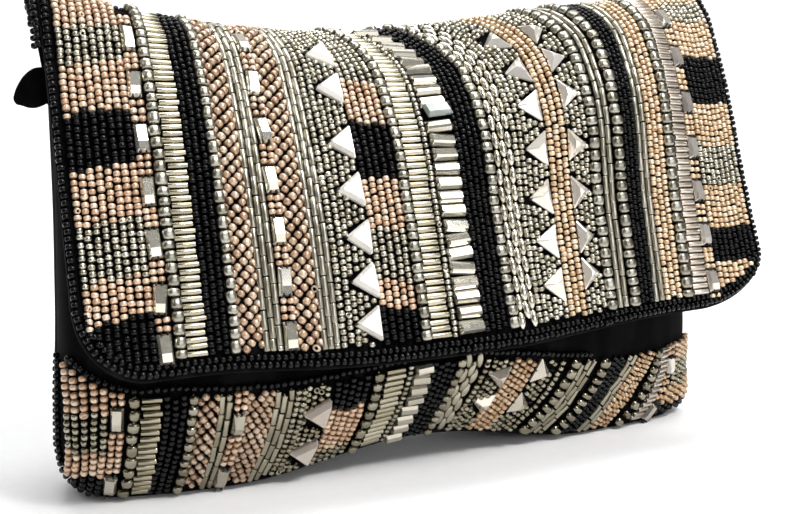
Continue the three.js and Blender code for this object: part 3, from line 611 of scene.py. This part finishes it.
# Border: two rows along the hem, one up each side, and one where the beadwork ends behind the fold.
for inset in (1.05, 3.0):
    line_u, line_v = hem_line(inset)
    keep = slice(None) if inset < 2 else (line_v < FLAP_CORNER - 2)
    border(flap, along_line(line_u[keep], line_v[keep], 1.95, flap), F.piece)
flat = np.linspace(-113.4, 113.4, 400)
border(flap, along_line(flat, bead_end(flat) - 0.2, 1.95, flap), F.piece)
# Black beads oversewn on the left edge near the fold.
over = np.linspace(91, float(flap_end(-115)) - 3, 200)
border(flap, along_line(np.full(200, -116.4), over, 2.1, flap), F.piece, k=1.0, lift=-0.2)
border(flap, along_line(np.full(200, -117.0), over, 2.1, flap), F.piece, k=1.0, lift=-2.0)

# ---------------------------------------------------------------- the front strip's beadwork
def from_seam(d, z):
    """Place across, at a distance along the cloth from the left seam."""
    x = POUCH_X - level("left", z)[:, None] * (1 - 0.35 * np.linspace(0, 1, 300)[None] ** 3)
    l = np.cumsum(np.linalg.norm(np.diff(front_point(x, z[:, None]), axis=1), axis=2), axis=1)
    return np.array([np.interp(d, np.r_[0, a], b) for a, b in zip(l, x)])


# Black rows follow the left seam round its corner, then columns stand upright up to the slanting top edge.
for i, d in enumerate((3.4, 5.7)):
    zz = np.linspace(1.4 + 0.9 * (i % 2), 41.8 - 0.5 * i, 200)
    border(front, along_line(from_seam(d, zz), zz, 1.95, front), S.piece, k=0.95, lift=0.7)
for i, u in enumerate((-106.0, -108.1, -110.2, -112.15, -113.7)):
    seed_columns(S, [u], lambda v, _: ragged([9.4, 17, 28], ["black", "peach", "pewter", "peach"], v, i, steps_of(5, 0.9, 12)), k=1.08)
stones(S, "front_baguettes_left", -103.0, 4.0, [6.2, 27.0], 7.0)
cubes(S, -98.8, 3.3, 3.3)
ladder(S, -94.1, 5.5, "champagne")
seed_columns(S, spaced(-91.5, 6.4, 3), "black", stagger=0.5)
cubes(S, -83.4, 3.0, 2.95)
rope(S, -81.9, 5.6, k=0.88)
bugles(S, -76.4, 4.0, 2, "steel", 5.6)
stones(S, "front_baguettes_middle", -70.8, 4.0, [5.3, 23.3], 6.9)
rope(S, -68.7, 7.4, k=0.88)
bugles(S, -61.3, 6.1, 3, "steel", 5.6)
seed_columns(S, [-54.2, -52.2], "pewter", stagger=0.5, twist=0.06)
triangles(S, "front_triangles_left", -43.9, -51.8, [7.8, 21.2], 10.6, "table", "pewter", -51.9, -43.9, "white")
seed_columns(S, spaced(-43.2, 11.4, 5), blocks([7, 21], ["pewter", "peach", "black"], steps_of(5, 1.0, 15)), stagger=0.5)
cubes(S, -29.6, 3.3, 2.95)
ladder(S, -24.0, 6.4, "champagne")
seed_columns(S, [-19.4], "pewter", k=0.93, twist=0.1)
low = np.arange(3.0, float(strip_top(-15)) - 3.2, 3.7)
P, N, TU, TV = S.about(-15.3).at(np.full(len(low), -15.3), low)
put("front_baguettes_ladder", "rung", "foil", P, TU, N, [1.6, 2.85, 2.3], 0.3, tilt=0.06, vary=0.02, shift=0.1)
seed_columns(S, spaced(-12.0, 7.9, 4), "black", stagger=0.5)
cubes(S, -2.6, 2.8, 2.8)
rices(S, -1.0, 5.8, 3)
seed_columns(S, [6.4], "pewter", twist=0.06)
triangles(S, "front_triangles_middle", 14.7, 7.4, [13.2, 23.6], 8.6, "pyramid", "pewter", 7.2, 14.8)
seed_columns(S, spaced(15.3, 8.4, 4), "gold", stagger=0.5, piece="front_beads_peach")
triangles(S, "front_triangles_right", 24.3, 31.4, [14.0, 26.2], 9.0, "pyramid", "pewter", 24.1, 31.6)
seed_columns(S, [33.1], "pewter", piece="front_beads_right_bugles")
cubes(S, 37.1, 4.0, 2.8)
bugles(S, 39.6, 6.4, 3, "steel", 5.8)
cubes(S, 49.3, 4.2, 2.8)
seed_columns(S, spaced(51.7, 6.4, 4), "black", stagger=0.5, k=0.84)
bugles(S, 57.9, 4.9, 2, "steel", 5.8)
seed_columns(S, spaced(63.2, 9.0, 4), "gold", stagger=0.5, k=0.86)
cubes(S, 74.0, 3.7, 2.7)
ladder(S, 78.5, 4.6, "rose", 1.9, thick=0.88)
stones(S, "front_baguettes_right", 82.8, 3.9, [4.6, 20.5], 6.4, look="rosefoil", group_look="gold")
# The right end's columns share the room between the last stones and the seam, evenly along the cloth.
zz = np.linspace(3.0, 29.4, 120)
near, far = 84.8 + slant(84.6, zz), POUCH_X + level("right", zz) - 0.25
share = np.linspace(0, 1, 400)
mid = front_point(near[70] + (far[70] - near[70]) * share, zz[70])
mid_l = np.r_[0, np.cumsum(np.linalg.norm(np.diff(mid, axis=0), axis=1))]
for i, want in enumerate(np.arange(1.15, mid_l[-1] - 2.0, 2.2)):
    t = float(np.interp(want, mid_l, share))
    line = front_point(near + (far - near) * t, zz)
    l = np.r_[0, np.cumsum(np.linalg.norm(np.diff(line, axis=0), axis=1))]
    at = np.interp(np.arange(l[-1] - 1.9 - 0.9 * (i % 2), 0.6, -PITCH), l, zz)
    x = np.interp(at, zz, near + (far - near) * t)
    P, N, TU, TV = front(x, at)
    seeds("front_beads_right_block", ragged([6.4, 12.6, 21.4], ["black", "gold", "pewter", "gold"], at, i, steps_of(9, 0.9, 18)), P, TV, N, 1.0)
line = np.linspace(-113.3, 48.0, 500)
border(front, along_line(line, strip_top(line) - 0.9, 1.95, front), S.piece)

# ---------------------------------------------------------------- materials
def material(name, colour, rough, metal, **sockets):
    m = bpy.data.materials.new(name)
    m.use_nodes = True
    nt = m.node_tree
    b = nt.nodes["Principled BSDF"]
    b.inputs["Base Color"].default_value = (*colour, 1)
    b.inputs["Roughness"].default_value = rough
    b.inputs["Metallic"].default_value = metal
    for k, v in sockets.items():
        b.inputs[k.replace("_", " ")].default_value = v
    return m, nt, b


def ramp(nt, stops):
    r = nt.nodes.new("ShaderNodeValToRGB")
    e = r.color_ramp.elements
    while len(e) < len(stops):
        e.new(0.5)
    for k, (p, c) in enumerate(stops):
        e[k].position = p
        e[k].color = (*c, 1)
    return r


def tinted(name, stops, rough, metal, wear=0.05, grain=700.0, bump=0.0, **sockets):
    """Glass or plated beads: each bead takes its own shade, with a little mottling and uneven polish."""
    m, nt, b = material(name, stops[len(stops) // 2][1], sum(rough) / 2, metal, **sockets)
    at = nt.nodes.new("ShaderNodeAttribute")
    at.attribute_name = "tint"
    pos = nt.nodes.new("ShaderNodeTexCoord")
    noise = nt.nodes.new("ShaderNodeTexNoise")
    noise.inputs["Scale"].default_value = grain
    noise.inputs["Detail"].default_value = 2.0
    nt.links.new(pos.outputs["Object"], noise.inputs["Vector"])
    spread = nt.nodes.new("ShaderNodeMath")
    spread.operation = "MULTIPLY_ADD"
    spread.inputs[1].default_value = wear * 4
    spread.inputs[2].default_value = -wear * 2
    nt.links.new(noise.outputs["Fac"], spread.inputs[0])
    add = nt.nodes.new("ShaderNodeMath")
    add.operation = "ADD"
    add.use_clamp = True
    nt.links.new(at.outputs["Fac"], add.inputs[0])
    nt.links.new(spread.outputs[0], add.inputs[1])
    r = ramp(nt, stops)
    nt.links.new(add.outputs[0], r.inputs["Fac"])
    nt.links.new(r.outputs["Color"], b.inputs["Base Color"])
    rr = nt.nodes.new("ShaderNodeMapRange")
    rr.inputs["To Min"].default_value, rr.inputs["To Max"].default_value = rough
    nt.links.new(noise.outputs["Fac"], rr.inputs["Value"])
    nt.links.new(rr.outputs["Result"], b.inputs["Roughness"])
    if bump:
        bm = nt.nodes.new("ShaderNodeBump")
        bm.inputs["Strength"].default_value = bump
        bm.inputs["Distance"].default_value = 0.0001
        nt.links.new(noise.outputs["Fac"], bm.inputs["Height"])
        nt.links.new(bm.outputs["Normal"], b.inputs["Normal"])
    return m


LOOKS = {
    "peach": tinted("peach_beads", [(0.0, (0.55, 0.35, 0.22)), (0.35, (0.68, 0.47, 0.32)), (0.75, (0.75, 0.56, 0.40)), (1.0, (0.82, 0.66, 0.51))], (0.28, 0.36), 0.45, Coat_Weight=0.6, Coat_Roughness=0.16),
    "gold": tinted("golden_peach_beads", [(0.0, (0.58, 0.39, 0.22)), (0.4, (0.72, 0.52, 0.33)), (0.8, (0.79, 0.61, 0.41)), (1.0, (0.85, 0.70, 0.52))], (0.28, 0.36), 0.45, Coat_Weight=0.6, Coat_Roughness=0.16),
    "pewter": tinted("pewter_beads", [(0.0, (0.38, 0.35, 0.27)), (0.4, (0.51, 0.48, 0.39)), (0.8, (0.62, 0.59, 0.49)), (1.0, (0.72, 0.69, 0.59))], (0.25, 0.34), 1.0),
    "cube": tinted("pewter_cubes", [(0.0, (0.29, 0.273, 0.22)), (0.5, (0.378, 0.361, 0.299)), (1.0, (0.458, 0.44, 0.378))], (0.26, 0.35), 1.0, bump=0.15),
    "champagne": tinted("champagne_bugles", [(0.0, (0.38, 0.342, 0.247)), (0.5, (0.465, 0.427, 0.323)), (1.0, (0.551, 0.513, 0.408))], (0.2, 0.28), 1.0),
    "brass": tinted("brass_bugles", [(0.0, (0.31, 0.278, 0.198)), (0.5, (0.386, 0.352, 0.264)), (1.0, (0.46, 0.425, 0.335))], (0.14, 0.22), 1.0),
    "steel": tinted("steel_bugles",[(0.0, (0.37, 0.343, 0.273)), (0.5, (0.466, 0.44, 0.361)), (1.0, (0.546, 0.519, 0.44))], (0.26, 0.35), 1.0),
    "rose": tinted("rose_bugles", [(0.0, (0.50, 0.44, 0.37)), (0.5, (0.62, 0.55, 0.47)), (1.0, (0.70, 0.64, 0.56))], (0.28, 0.38), 0.85),
    "rice": tinted("rice_beads", [(0.0, (0.515, 0.478, 0.386)), (0.5, (0.626, 0.589, 0.497)), (1.0, (0.718, 0.681, 0.598))], (0.22, 0.3), 1.0),
    "black": tinted("black_glass_beads", [(0.0, (0.0012, 0.0012, 0.0014)), (0.6, (0.002, 0.002, 0.0024)), (1.0, (0.004, 0.0038, 0.004))], (0.03, 0.09), 0.0, Specular_IOR_Level=0.2),
    "rope": tinted("rope_beads", [(0.0, (0.405, 0.261, 0.162)), (0.35, (0.513, 0.36, 0.243)), (0.75, (0.585, 0.432, 0.306)), (1.0, (0.657, 0.522, 0.396))], (0.28, 0.36), 0.45, Coat_Weight=0.6, Coat_Roughness=0.16),
    "foil": tinted("foiled_stones", [(0.0, (0.46, 0.43, 0.35)), (0.5, (0.62, 0.59, 0.5)), (1.0, (0.78, 0.75, 0.68))], (0.08, 0.16), 0.78, Coat_Weight=0.5),
    "rosefoil": tinted("rose_stones", [(0.0, (0.64, 0.58, 0.52)), (0.5, (0.74, 0.68, 0.61)), (1.0, (0.83, 0.78, 0.72))], (0.1, 0.18), 0.7, Coat_Weight=0.5),
    "white": tinted("white_triangles", [(0.0, (0.84, 0.80, 0.73)), (0.5, (0.88, 0.85, 0.79)), (1.0, (0.91, 0.89, 0.85))], (0.12, 0.2), 0.18, Coat_Weight=0.6),
    "mirror": tinted("mirror_stones", [(0.0, (0.80, 0.74, 0.65)), (0.5, (0.87, 0.82, 0.74)), (1.0, (0.93, 0.89, 0.83))], (0.1, 0.18), 0.5, Coat_Weight=0.6),
    "smoke": tinted("loose_stone", [(0.0, (0.24, 0.26, 0.24)), (0.5, (0.30, 0.32, 0.30)), (1.0, (0.36, 0.38, 0.36))], (0.25, 0.4), 0.3, Coat_Weight=0.4),
    "claw": tinted("claws", [(0.0, (0.02, 0.018, 0.016)), (0.5, (0.05, 0.046, 0.04)), (1.0, (0.14, 0.13, 0.115))], (0.25, 0.4), 0.8),
    # Painted shade: darker copies of the flap's bead and stone colours for the front strip, standing in for the shade
    # under the flap's overhang; the beads themselves are the same as the flap's.
    "peach_low": tinted("painted_shade_peach_beads", [(0.0, (0.48, 0.30, 0.18)), (0.35, (0.60, 0.40, 0.26)), (0.75, (0.67, 0.48, 0.33)), (1.0, (0.74, 0.58, 0.43))], (0.28, 0.36), 0.45, Coat_Weight=0.6, Coat_Roughness=0.16),
    "gold_low": tinted("painted_shade_golden_beads", [(0.0, (0.368, 0.221, 0.11)), (0.4, (0.488, 0.313, 0.166)), (0.8, (0.561, 0.386, 0.23)), (1.0, (0.635, 0.478, 0.322))], (0.28, 0.36), 0.45, Coat_Weight=0.6, Coat_Roughness=0.16),
    "pewter_low": tinted("painted_shade_pewter_beads", [(0.0, (0.2, 0.177, 0.122)), (0.4, (0.274, 0.25, 0.183)), (0.8, (0.34, 0.316, 0.237)), (1.0, (0.407, 0.382, 0.302))], (0.22, 0.3), 1.0),
    "cube_low": tinted("painted_shade_pewter_nuggets", [(0.0, (0.185, 0.165, 0.118)), (0.5, (0.252, 0.228, 0.168)), (1.0, (0.318, 0.294, 0.227))], (0.2, 0.28), 1.0, bump=0.15),
    "champagne_low": tinted("painted_shade_champagne_bugles", [(0.0, (0.277, 0.244, 0.168)), (0.5, (0.353, 0.319, 0.231)), (1.0, (0.42, 0.386, 0.298))], (0.18, 0.26), 1.0),
    "steel_low": tinted("painted_shade_steel_bugles", [(0.0, (0.215, 0.191, 0.137)), (0.5, (0.281, 0.257, 0.191)), (1.0, (0.348, 0.324, 0.248))], (0.22, 0.3), 1.0),
    "rose_low": tinted("painted_shade_rose_bugles", [(0.0, (0.38, 0.33, 0.27)), (0.5, (0.48, 0.42, 0.35)), (1.0, (0.56, 0.50, 0.43))], (0.26, 0.36), 0.85),
    "rice_low": tinted("painted_shade_rice_beads", [(0.0, (0.266, 0.242, 0.18)), (0.5, (0.34, 0.316, 0.24)), (1.0, (0.414, 0.389, 0.309))], (0.2, 0.28), 1.0),
    "rope_low": tinted("painted_shade_rope_beads", [(0.0, (0.332, 0.21, 0.127)), (0.35, (0.42, 0.29, 0.192)), (0.75, (0.48, 0.35, 0.242)), (1.0, (0.54, 0.424, 0.315))], (0.28, 0.36), 0.45, Coat_Weight=0.6, Coat_Roughness=0.16),
    "foil_low": tinted("painted_shade_foiled_stones", [(0.0, (0.34, 0.31, 0.245)), (0.5, (0.45, 0.415, 0.34)), (1.0, (0.57, 0.53, 0.45))], (0.08, 0.16), 0.8, Coat_Weight=0.4),
    "rosefoil_low": tinted("painted_shade_rose_stones", [(0.0, (0.40, 0.355, 0.30)), (0.5, (0.49, 0.44, 0.38)), (1.0, (0.58, 0.53, 0.47))], (0.1, 0.18), 0.75, Coat_Weight=0.4),
    "white_low": tinted("painted_shade_white_triangles", [(0.0, (0.50, 0.43, 0.36)), (0.5, (0.57, 0.50, 0.43)), (1.0, (0.63, 0.57, 0.50))], (0.12, 0.2), 0.5, Coat_Weight=0.5),
    "mirror_low": tinted("painted_shade_mirror_stones", [(0.0, (0.42, 0.37, 0.30)), (0.5, (0.51, 0.46, 0.38)), (1.0, (0.60, 0.55, 0.47))], (0.1, 0.18), 0.65, Coat_Weight=0.5),
}


def velvet():
    m, nt, b = material("black_velvet", (0.0028, 0.0026, 0.003), 0.95, 0.0, Sheen_Weight=0.045, Sheen_Roughness=0.4, Specular_IOR_Level=0.04)
    b.inputs["Sheen Tint"].default_value = (0.5, 0.48, 0.52, 1)
    pos = nt.nodes.new("ShaderNodeTexCoord")
    pile = nt.nodes.new("ShaderNodeTexNoise")
    pile.inputs["Scale"].default_value = 2600.0
    pile.inputs["Detail"].default_value = 4.0
    nap = nt.nodes.new("ShaderNodeTexNoise")
    nap.inputs["Scale"].default_value = 110.0
    nap.inputs["Detail"].default_value = 6.0
    nt.links.new(pos.outputs["Object"], pile.inputs["Vector"])
    # The nap is brushed downwards, so its lighter patches are long.
    brushed = nt.nodes.new("ShaderNodeMapping")
    brushed.inputs["Scale"].default_value = (1.0, 1.0, 0.28)
    nt.links.new(pos.outputs["Object"], brushed.inputs["Vector"])
    nt.links.new(brushed.outputs["Vector"], nap.inputs["Vector"])
    r = ramp(nt, [(0.3, (0.0012, 0.0012, 0.0013)), (0.5, (0.0028, 0.0026, 0.0029)), (0.72, (0.0085, 0.0079, 0.0086))])
    nt.links.new(nap.outputs["Fac"], r.inputs["Fac"])
    nt.links.new(r.outputs["Color"], b.inputs["Base Color"])
    bm = nt.nodes.new("ShaderNodeBump")
    bm.inputs["Strength"].default_value = 0.5
    bm.inputs["Distance"].default_value = 0.0003
    nt.links.new(pile.outputs["Fac"], bm.inputs["Height"])
    nt.links.new(bm.outputs["Normal"], b.inputs["Normal"])
    return m


VELVET = velvet()


# ---------------------------------------------------------------- meshes
def mesh_of(name, V, loops, totals, looks, index=None, tint=None, uv=None, curved=None):
    me = bpy.data.meshes.new(name)
    me.vertices.add(len(V))
    me.vertices.foreach_set("co", ((V + OFFSET) / 1000).astype(np.float32).ravel())
    me.loops.add(len(loops))
    me.loops.foreach_set("vertex_index", loops.astype(np.int32))
    me.polygons.add(len(totals))
    me.polygons.foreach_set("loop_start", np.r_[0, np.cumsum(totals)[:-1]].astype(np.int32))
    me.polygons.foreach_set("loop_total", totals.astype(np.int32))
    if index is not None:
        me.polygons.foreach_set("material_index", index.astype(np.int32))
    me.update(calc_edges=True)
    me.validate()
    if tint is not None:
        me.attributes.new("tint", "FLOAT", "POINT").data.foreach_set("value", tint.astype(np.float32))
    if uv is not None:
        me.uv_layers.new(name="OFBake").data.foreach_set("uv", uv.astype(np.float32).ravel())
    me.polygons.foreach_set("use_smooth", np.ones(len(totals), bool) if curved is None else curved)
    for m in looks:
        me.materials.append(m)
    o = bpy.data.objects.new(name, me)
    bpy.context.scene.collection.objects.link(o)
    return o


def sew(piece, batches, name):
    looks = sorted({b[1] for b in batches})
    total = sum(len(b[2]) for b in batches)
    side = math.ceil(math.sqrt(total))
    Vs, loops, totals, index, tints, uvs, curved, base, cell = [], [], [], [], [], [], [], 0, 0
    for shape, look, P, X, Y, Z, tint in batches:
        V, faces, uv, soft = SHAPES[shape]
        n, k = len(P), len(V)
        W = P[:, None] + V[None, :, :1] * X[:, None] + V[None, :, 1:2] * Y[:, None] + V[None, :, 2:] * Z[:, None]
        # Nothing sewn along the lower edge goes below what the clutch stands on.
        W[:, :, 2] -= np.minimum(W[:, :, 2].min(1) + OFFSET[2], 0)[:, None]
        flat = np.concatenate([np.array(f) for f in faces])
        tot = np.array([len(f) for f in faces])
        flat_uv = np.concatenate([np.array(f) for f in uv])
        Vs.append(W.reshape(-1, 3))
        loops.append((flat[None] + base + k * np.arange(n)[:, None]).ravel())
        totals.append(np.tile(tot, n))
        index.append(np.full(n * len(faces), looks.index(look)))
        curved.append(np.full(n * len(faces), soft))
        tints.append(np.repeat(tint, k))
        at = np.arange(cell, cell + n)
        corner = np.stack([at % side, at // side], 1)
        uvs.append(((corner[:, None] + 0.06 + 0.88 * flat_uv[None]) / side).reshape(-1, 2))
        base += n * k
        cell += n
    o = mesh_of(name, np.concatenate(Vs), np.concatenate(loops), np.concatenate(totals), [LOOKS[l] for l in looks],
                np.concatenate(index), np.concatenate(tints), np.concatenate(uvs), np.concatenate(curved))
    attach(o, "root")
    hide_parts(piece)
    return o


for piece, batches in WORK.items():
    # Painted shade: the strip's pieces take the darker copies of their colours, for the shade under the flap's
    # overhang.
    if piece.startswith("front_"):
        batches = [(b[0], b[1] + "_low" if b[1] + "_low" in LOOKS else b[1], *b[2:]) for b in batches]
    o = sew(piece, batches, piece.replace("_beads_", "_sewn_").replace("_baguettes_", "_cut_").replace("_triangles_", "_facet_"))


# ---------------------------------------------------------------- velvet
def shell(name, top, thick, wave=None, round_rim=0.55):
    """A closed sheet of cloth from its outside: an inside, and a soft rounded edge all the way round."""
    m, n = top.shape[:2]
    tu, tv = np.gradient(top, axis=0), np.gradient(top, axis=1)
    N = unit(np.cross(tu, tv))
    if wave is not None:
        top = top + N * wave[..., None]
    under = top - N * thick
    ring = [(i, 0) for i in range(m)] + [(m - 1, j) for j in range(1, n)] + [(i, n - 1) for i in range(m - 2, -1, -1)] + [(0, j) for j in range(n - 2, 0, -1)]
    ii, jj = np.array(ring).T
    out = top[ii, jj] - top[np.clip(ii, 1, m - 2), np.clip(jj, 1, n - 2)]
    out = unit(out - N[ii, jj] * np.sum(out * N[ii, jj], 1, keepdims=True))
    rims = [top[ii, jj] - N[ii, jj] * thick * f + out * round_rim * h for f, h in ((0.18, 0.62), (0.5, 1.0), (0.82, 0.62))]
    V = np.concatenate([top.reshape(-1, 3), under.reshape(-1, 3)] + rims)
    T = np.arange(m * n).reshape(m, n)
    B = T + m * n
    quads = [np.stack([T[:-1, :-1], T[1:, :-1], T[1:, 1:], T[:-1, 1:]], -1).reshape(-1, 4),
             np.stack([B[:-1, :-1], B[:-1, 1:], B[1:, 1:], B[1:, :-1]], -1).reshape(-1, 4)]
    r = len(ring)
    lines = [T[ii, jj]] + [2 * m * n + k * r + np.arange(r) for k in range(3)] + [B[ii, jj]]
    for a, b in zip(lines[:-1], lines[1:]):
        quads.append(np.stack([a, b, np.roll(b, -1), np.roll(a, -1)], -1))
    Q = np.concatenate(quads)
    return mesh_of(name, V, Q.ravel(), np.full(len(Q), 4), [VELVET])


def waves(a, b, scale, seed):
    """Smooth low swells over a sheet, from a few turned sines."""
    r = np.random.default_rng(seed)
    w = np.zeros(np.broadcast(a, b).shape)
    for _ in range(7):
        t, p, f = r.uniform(0, math.pi), r.uniform(0, 6.28), r.uniform(0.6, 1.7) / scale
        w = w + np.sin((a * math.cos(t) + b * math.sin(t)) * f * 6.28 + p)
    return w / 7


fu = FLAP_HALF * np.sin(np.linspace(-0.5, 0.5, 181) * math.pi)
fv = np.array([np.linspace(float(hem(u)), float(flap_end(u)), 121) for u in fu])
flap_top = flap(np.repeat(fu[:, None], 121, 1), fv)[0]
flap_velvet = shell("flap_velvet", flap_top, CLOTH, round_rim=0.7)
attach(flap_velvet, "root")
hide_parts("flap")

TURN = np.cos(np.linspace(0, math.pi, 161))


def wall_points(side, power):
    """The outside of one panel of the pouch, from its bottom seam to the mouth, column by column."""
    right = TURN < 0
    a = np.arccos(np.sign(TURN) * np.abs(TURN) ** (power(right, 24.0) / 2))
    rows = []
    for z, k in [(0.0, 0.0), (0.0, 0.34), (0.0, 0.68)] + [(z, 1.0) for z in np.r_[np.linspace(0, 14, 15), np.linspace(15.5, 112, 50)]]:
        p = power(right, z)
        x = POUCH_X - reach(right, z) * np.sign(np.cos(a)) * np.abs(np.cos(a)) ** (2 / p)
        y = np.abs(np.sin(a)) ** (2 / p)
        rows.append(np.stack([x, level("seam", z) + side * GAP / 2 + k * (level("front" if side < 0 else "back", z) - level("seam", z)) * y, z + arch(x, z)], -1))
    return np.array(rows).transpose(1, 0, 2), a


front_top, a = wall_points(-1, front_power)
deep = np.abs(np.sin(a))
calm = np.clip(front_top[..., 2] / 12, 0, 1) * deep[:, None]
front_velvet = shell("front_velvet", front_top, CLOTH, wave=-0.45 * np.abs(waves(front_top[..., 0], front_top[..., 2], 60, 4)) * calm)
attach(front_velvet, "root")
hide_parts("front_panel")


def back_power(right, z):
    return np.full(np.shape(right), BACK_POWER)


back_top, a = wall_points(1, back_power)
deep = np.abs(np.sin(a)) ** (2 / BACK_POWER)
bu = -FLAP_HALF * np.sign(np.cos(a)) * np.abs(np.cos(a)) ** (2 / BACK_POWER)
rim, rim_n, _, rim_t = flap(bu, flap_end(bu))
rim = rim + rim_t * GAP
f = np.linspace(0, 1, 15)[1:]
ease = back_top[:, -1:] + (rim[:, None] - back_top[:, -1:]) * f[None, :, None]
ease[..., 1] += np.sin(math.pi * f)[None] * 2.2 * deep[:, None]
back_top = np.concatenate([back_top, ease], 1)[::-1]
calm = (np.clip(back_top[..., 2] / 12, 0, 1) * deep[::-1, None]) * np.clip((rim[::-1, None, 2] - back_top[..., 2]) / 10, 0, 1)
back_velvet = shell("back_velvet", back_top, CLOTH, wave=0.9 * waves(back_top[..., 0], back_top[..., 2], 75, 8) * calm)
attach(back_velvet, "root")
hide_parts("back_panel")

# The strap tab: an ear of velvet tape folded double, its ends in the side seam and its fold a soft round outline.
EAR = np.array([(-113.0, 121.7), (-116.6, 121.2), (-118.8, 119.6), (-120.6, 117.2), (-121.8, 114.6), (-122.2, 112.6), (-121.6, 111.4), (-120.0, 110.9),
                (-118.2, 110.3), (-116.6, 110.2), (-114.8, 110.7), (-113.0, 111.6)])
ear_l = np.r_[0, np.cumsum(np.linalg.norm(np.diff(EAR, axis=0), axis=1))]
ts, tt = np.linspace(0, 1, 49), np.linspace(-1, 1, 25)
edge = np.stack([smooth(ear_l, EAR[:, k], ts * ear_l[-1]) for k in (0, 1)], 1)
root = np.stack([np.full(49, -112.8), 121.4 - 9.6 * ts], 1)
out = np.cos(tt * math.pi / 2) ** 0.55
tab_xz = root[:, None] + (edge - root)[:, None] * out[None, :, None]
tab_y = 7.2 + (1.2 + 0.5 * np.sin(ts * math.pi)[:, None]) * np.sin(tt * math.pi / 2)[None] - 0.5 * out[None]
tab_top = np.stack([tab_xz[..., 0], tab_y, tab_xz[..., 1]], -1)
tab_velvet = shell("tab_velvet", tab_top, -0.8, round_rim=0.3)
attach(tab_velvet, "root")
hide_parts("strap_tab")


# ---------------------------------------------------------------- stage, light and camera
def plain(name, V, faces, m):
    me = bpy.data.meshes.new(name)
    me.from_pydata(V, [], faces)
    me.polygons.foreach_set("use_smooth", [True] * len(me.polygons))
    me.materials.append(m)
    o = bpy.data.objects.new(name, me)
    bpy.context.scene.collection.objects.link(o)
    return o


paper, nt, b = material("paper_sweep", (0.9, 0.9, 0.9), 0.85, 0.0, Specular_IOR_Level=0.2)
coord, fine = nt.nodes.new("ShaderNodeTexCoord"), nt.nodes.new("ShaderNodeTexNoise")
fine.inputs["Scale"].default_value = 300.0
nt.links.new(coord.outputs["Object"], fine.inputs["Vector"])
tone = ramp(nt, [(0.3, (0.895, 0.895, 0.9)), (0.7, (0.915, 0.915, 0.92))])
nt.links.new(fine.outputs["Fac"], tone.inputs["Fac"])
nt.links.new(tone.outputs["Color"], b.inputs["Base Color"])
path = [(-1.6, 0.0), (0.5, 0.0)] + [(0.5 + 0.5 * math.sin(t), 0.5 - 0.5 * math.cos(t)) for t in np.linspace(0.1, math.pi / 2, 14)] + [(1.0, 1.8)]
plain("paper_floor", [(x, y, z) for y, z in path for x in (-2.2, 2.2)], [(2 * k, 2 * k + 1, 2 * k + 3, 2 * k + 2) for k in range(len(path) - 1)], paper)


def lamp(name, place, aim, size, power, colour=(1, 1, 1)):
    from mathutils import Vector
    d = bpy.data.lights.new(name, "AREA")
    d.shape, d.size, d.size_y = "RECTANGLE", size[0], size[1]
    d.energy, d.color = power, colour
    o = bpy.data.objects.new(name, d)
    o.location = place
    o.rotation_euler = (Vector(aim) - o.location).to_track_quat("-Z", "Y").to_euler()
    bpy.context.scene.collection.objects.link(o)
    return o


lamp("key_top", (0.34, -0.6, 1.0), (0.02, -0.02, 0.03), (0.55, 0.4), 7.8)
lamp("glint", (0.16, -0.62, 0.98), (0.02, -0.02, 0.05), (0.07, 0.07), 3.2)
lamp("left_box", (-0.75, -0.2, 0.85), (-0.15, -0.1, 0.0), (0.4, 0.4), 1.0)
lamp("front_box", (0.3, -1.2, 0.45), (0, 0, 0.03), (1.4, 0.5), 4.6)
lamp("top_box", (0.1, 0.2, 1.2), (0.02, 0, 0.0), (0.9, 0.5), 5.4)
lamp("back_box", (0.4, 0.35, 1.6), (0.6, 1.0, 0.4), (1.6, 0.4), 16)

world = bpy.data.worlds.new("studio")
bpy.context.scene.world = world
world.use_nodes = True
nt = world.node_tree
bg = nt.nodes["Background"]
tc = nt.nodes.new("ShaderNodeTexCoord")
sep = nt.nodes.new("ShaderNodeSeparateXYZ")
nt.links.new(tc.outputs["Generated"], sep.inputs["Vector"])
sky = ramp(nt, [(0.0, (0.4, 0.4, 0.4)), (0.5, (0.3, 0.3, 0.3)), (0.65, (0.45, 0.45, 0.45)), (1.0, (1.0, 1.0, 1.0))])
mr = nt.nodes.new("ShaderNodeMapRange")
mr.inputs["From Min"].default_value, mr.inputs["From Max"].default_value = -1.0, 1.0
nt.links.new(sep.outputs["Z"], mr.inputs["Value"])
nt.links.new(mr.outputs["Result"], sky.inputs["Fac"])
nt.links.new(sky.outputs["Color"], bg.inputs["Color"])
bg.inputs["Strength"].default_value = 0.22

cam = bpy.data.cameras.new("camera")
cam.sensor_fit, cam.sensor_width, cam.lens = "HORIZONTAL", 36.0, 1140 * 36 / 790
cam.clip_start, cam.clip_end = 0.01, 20
eye = bpy.data.objects.new("camera", cam)
eye.location = (-0.15742, -0.32686, 0.118)
eye.rotation_euler = (math.radians(81.175), 0, math.radians(-25))
bpy.context.scene.collection.objects.link(eye)
bpy.context.scene.camera = eye
bpy.context.scene.view_settings.view_transform = "Standard"
bpy.context.scene.view_settings.look = "None"
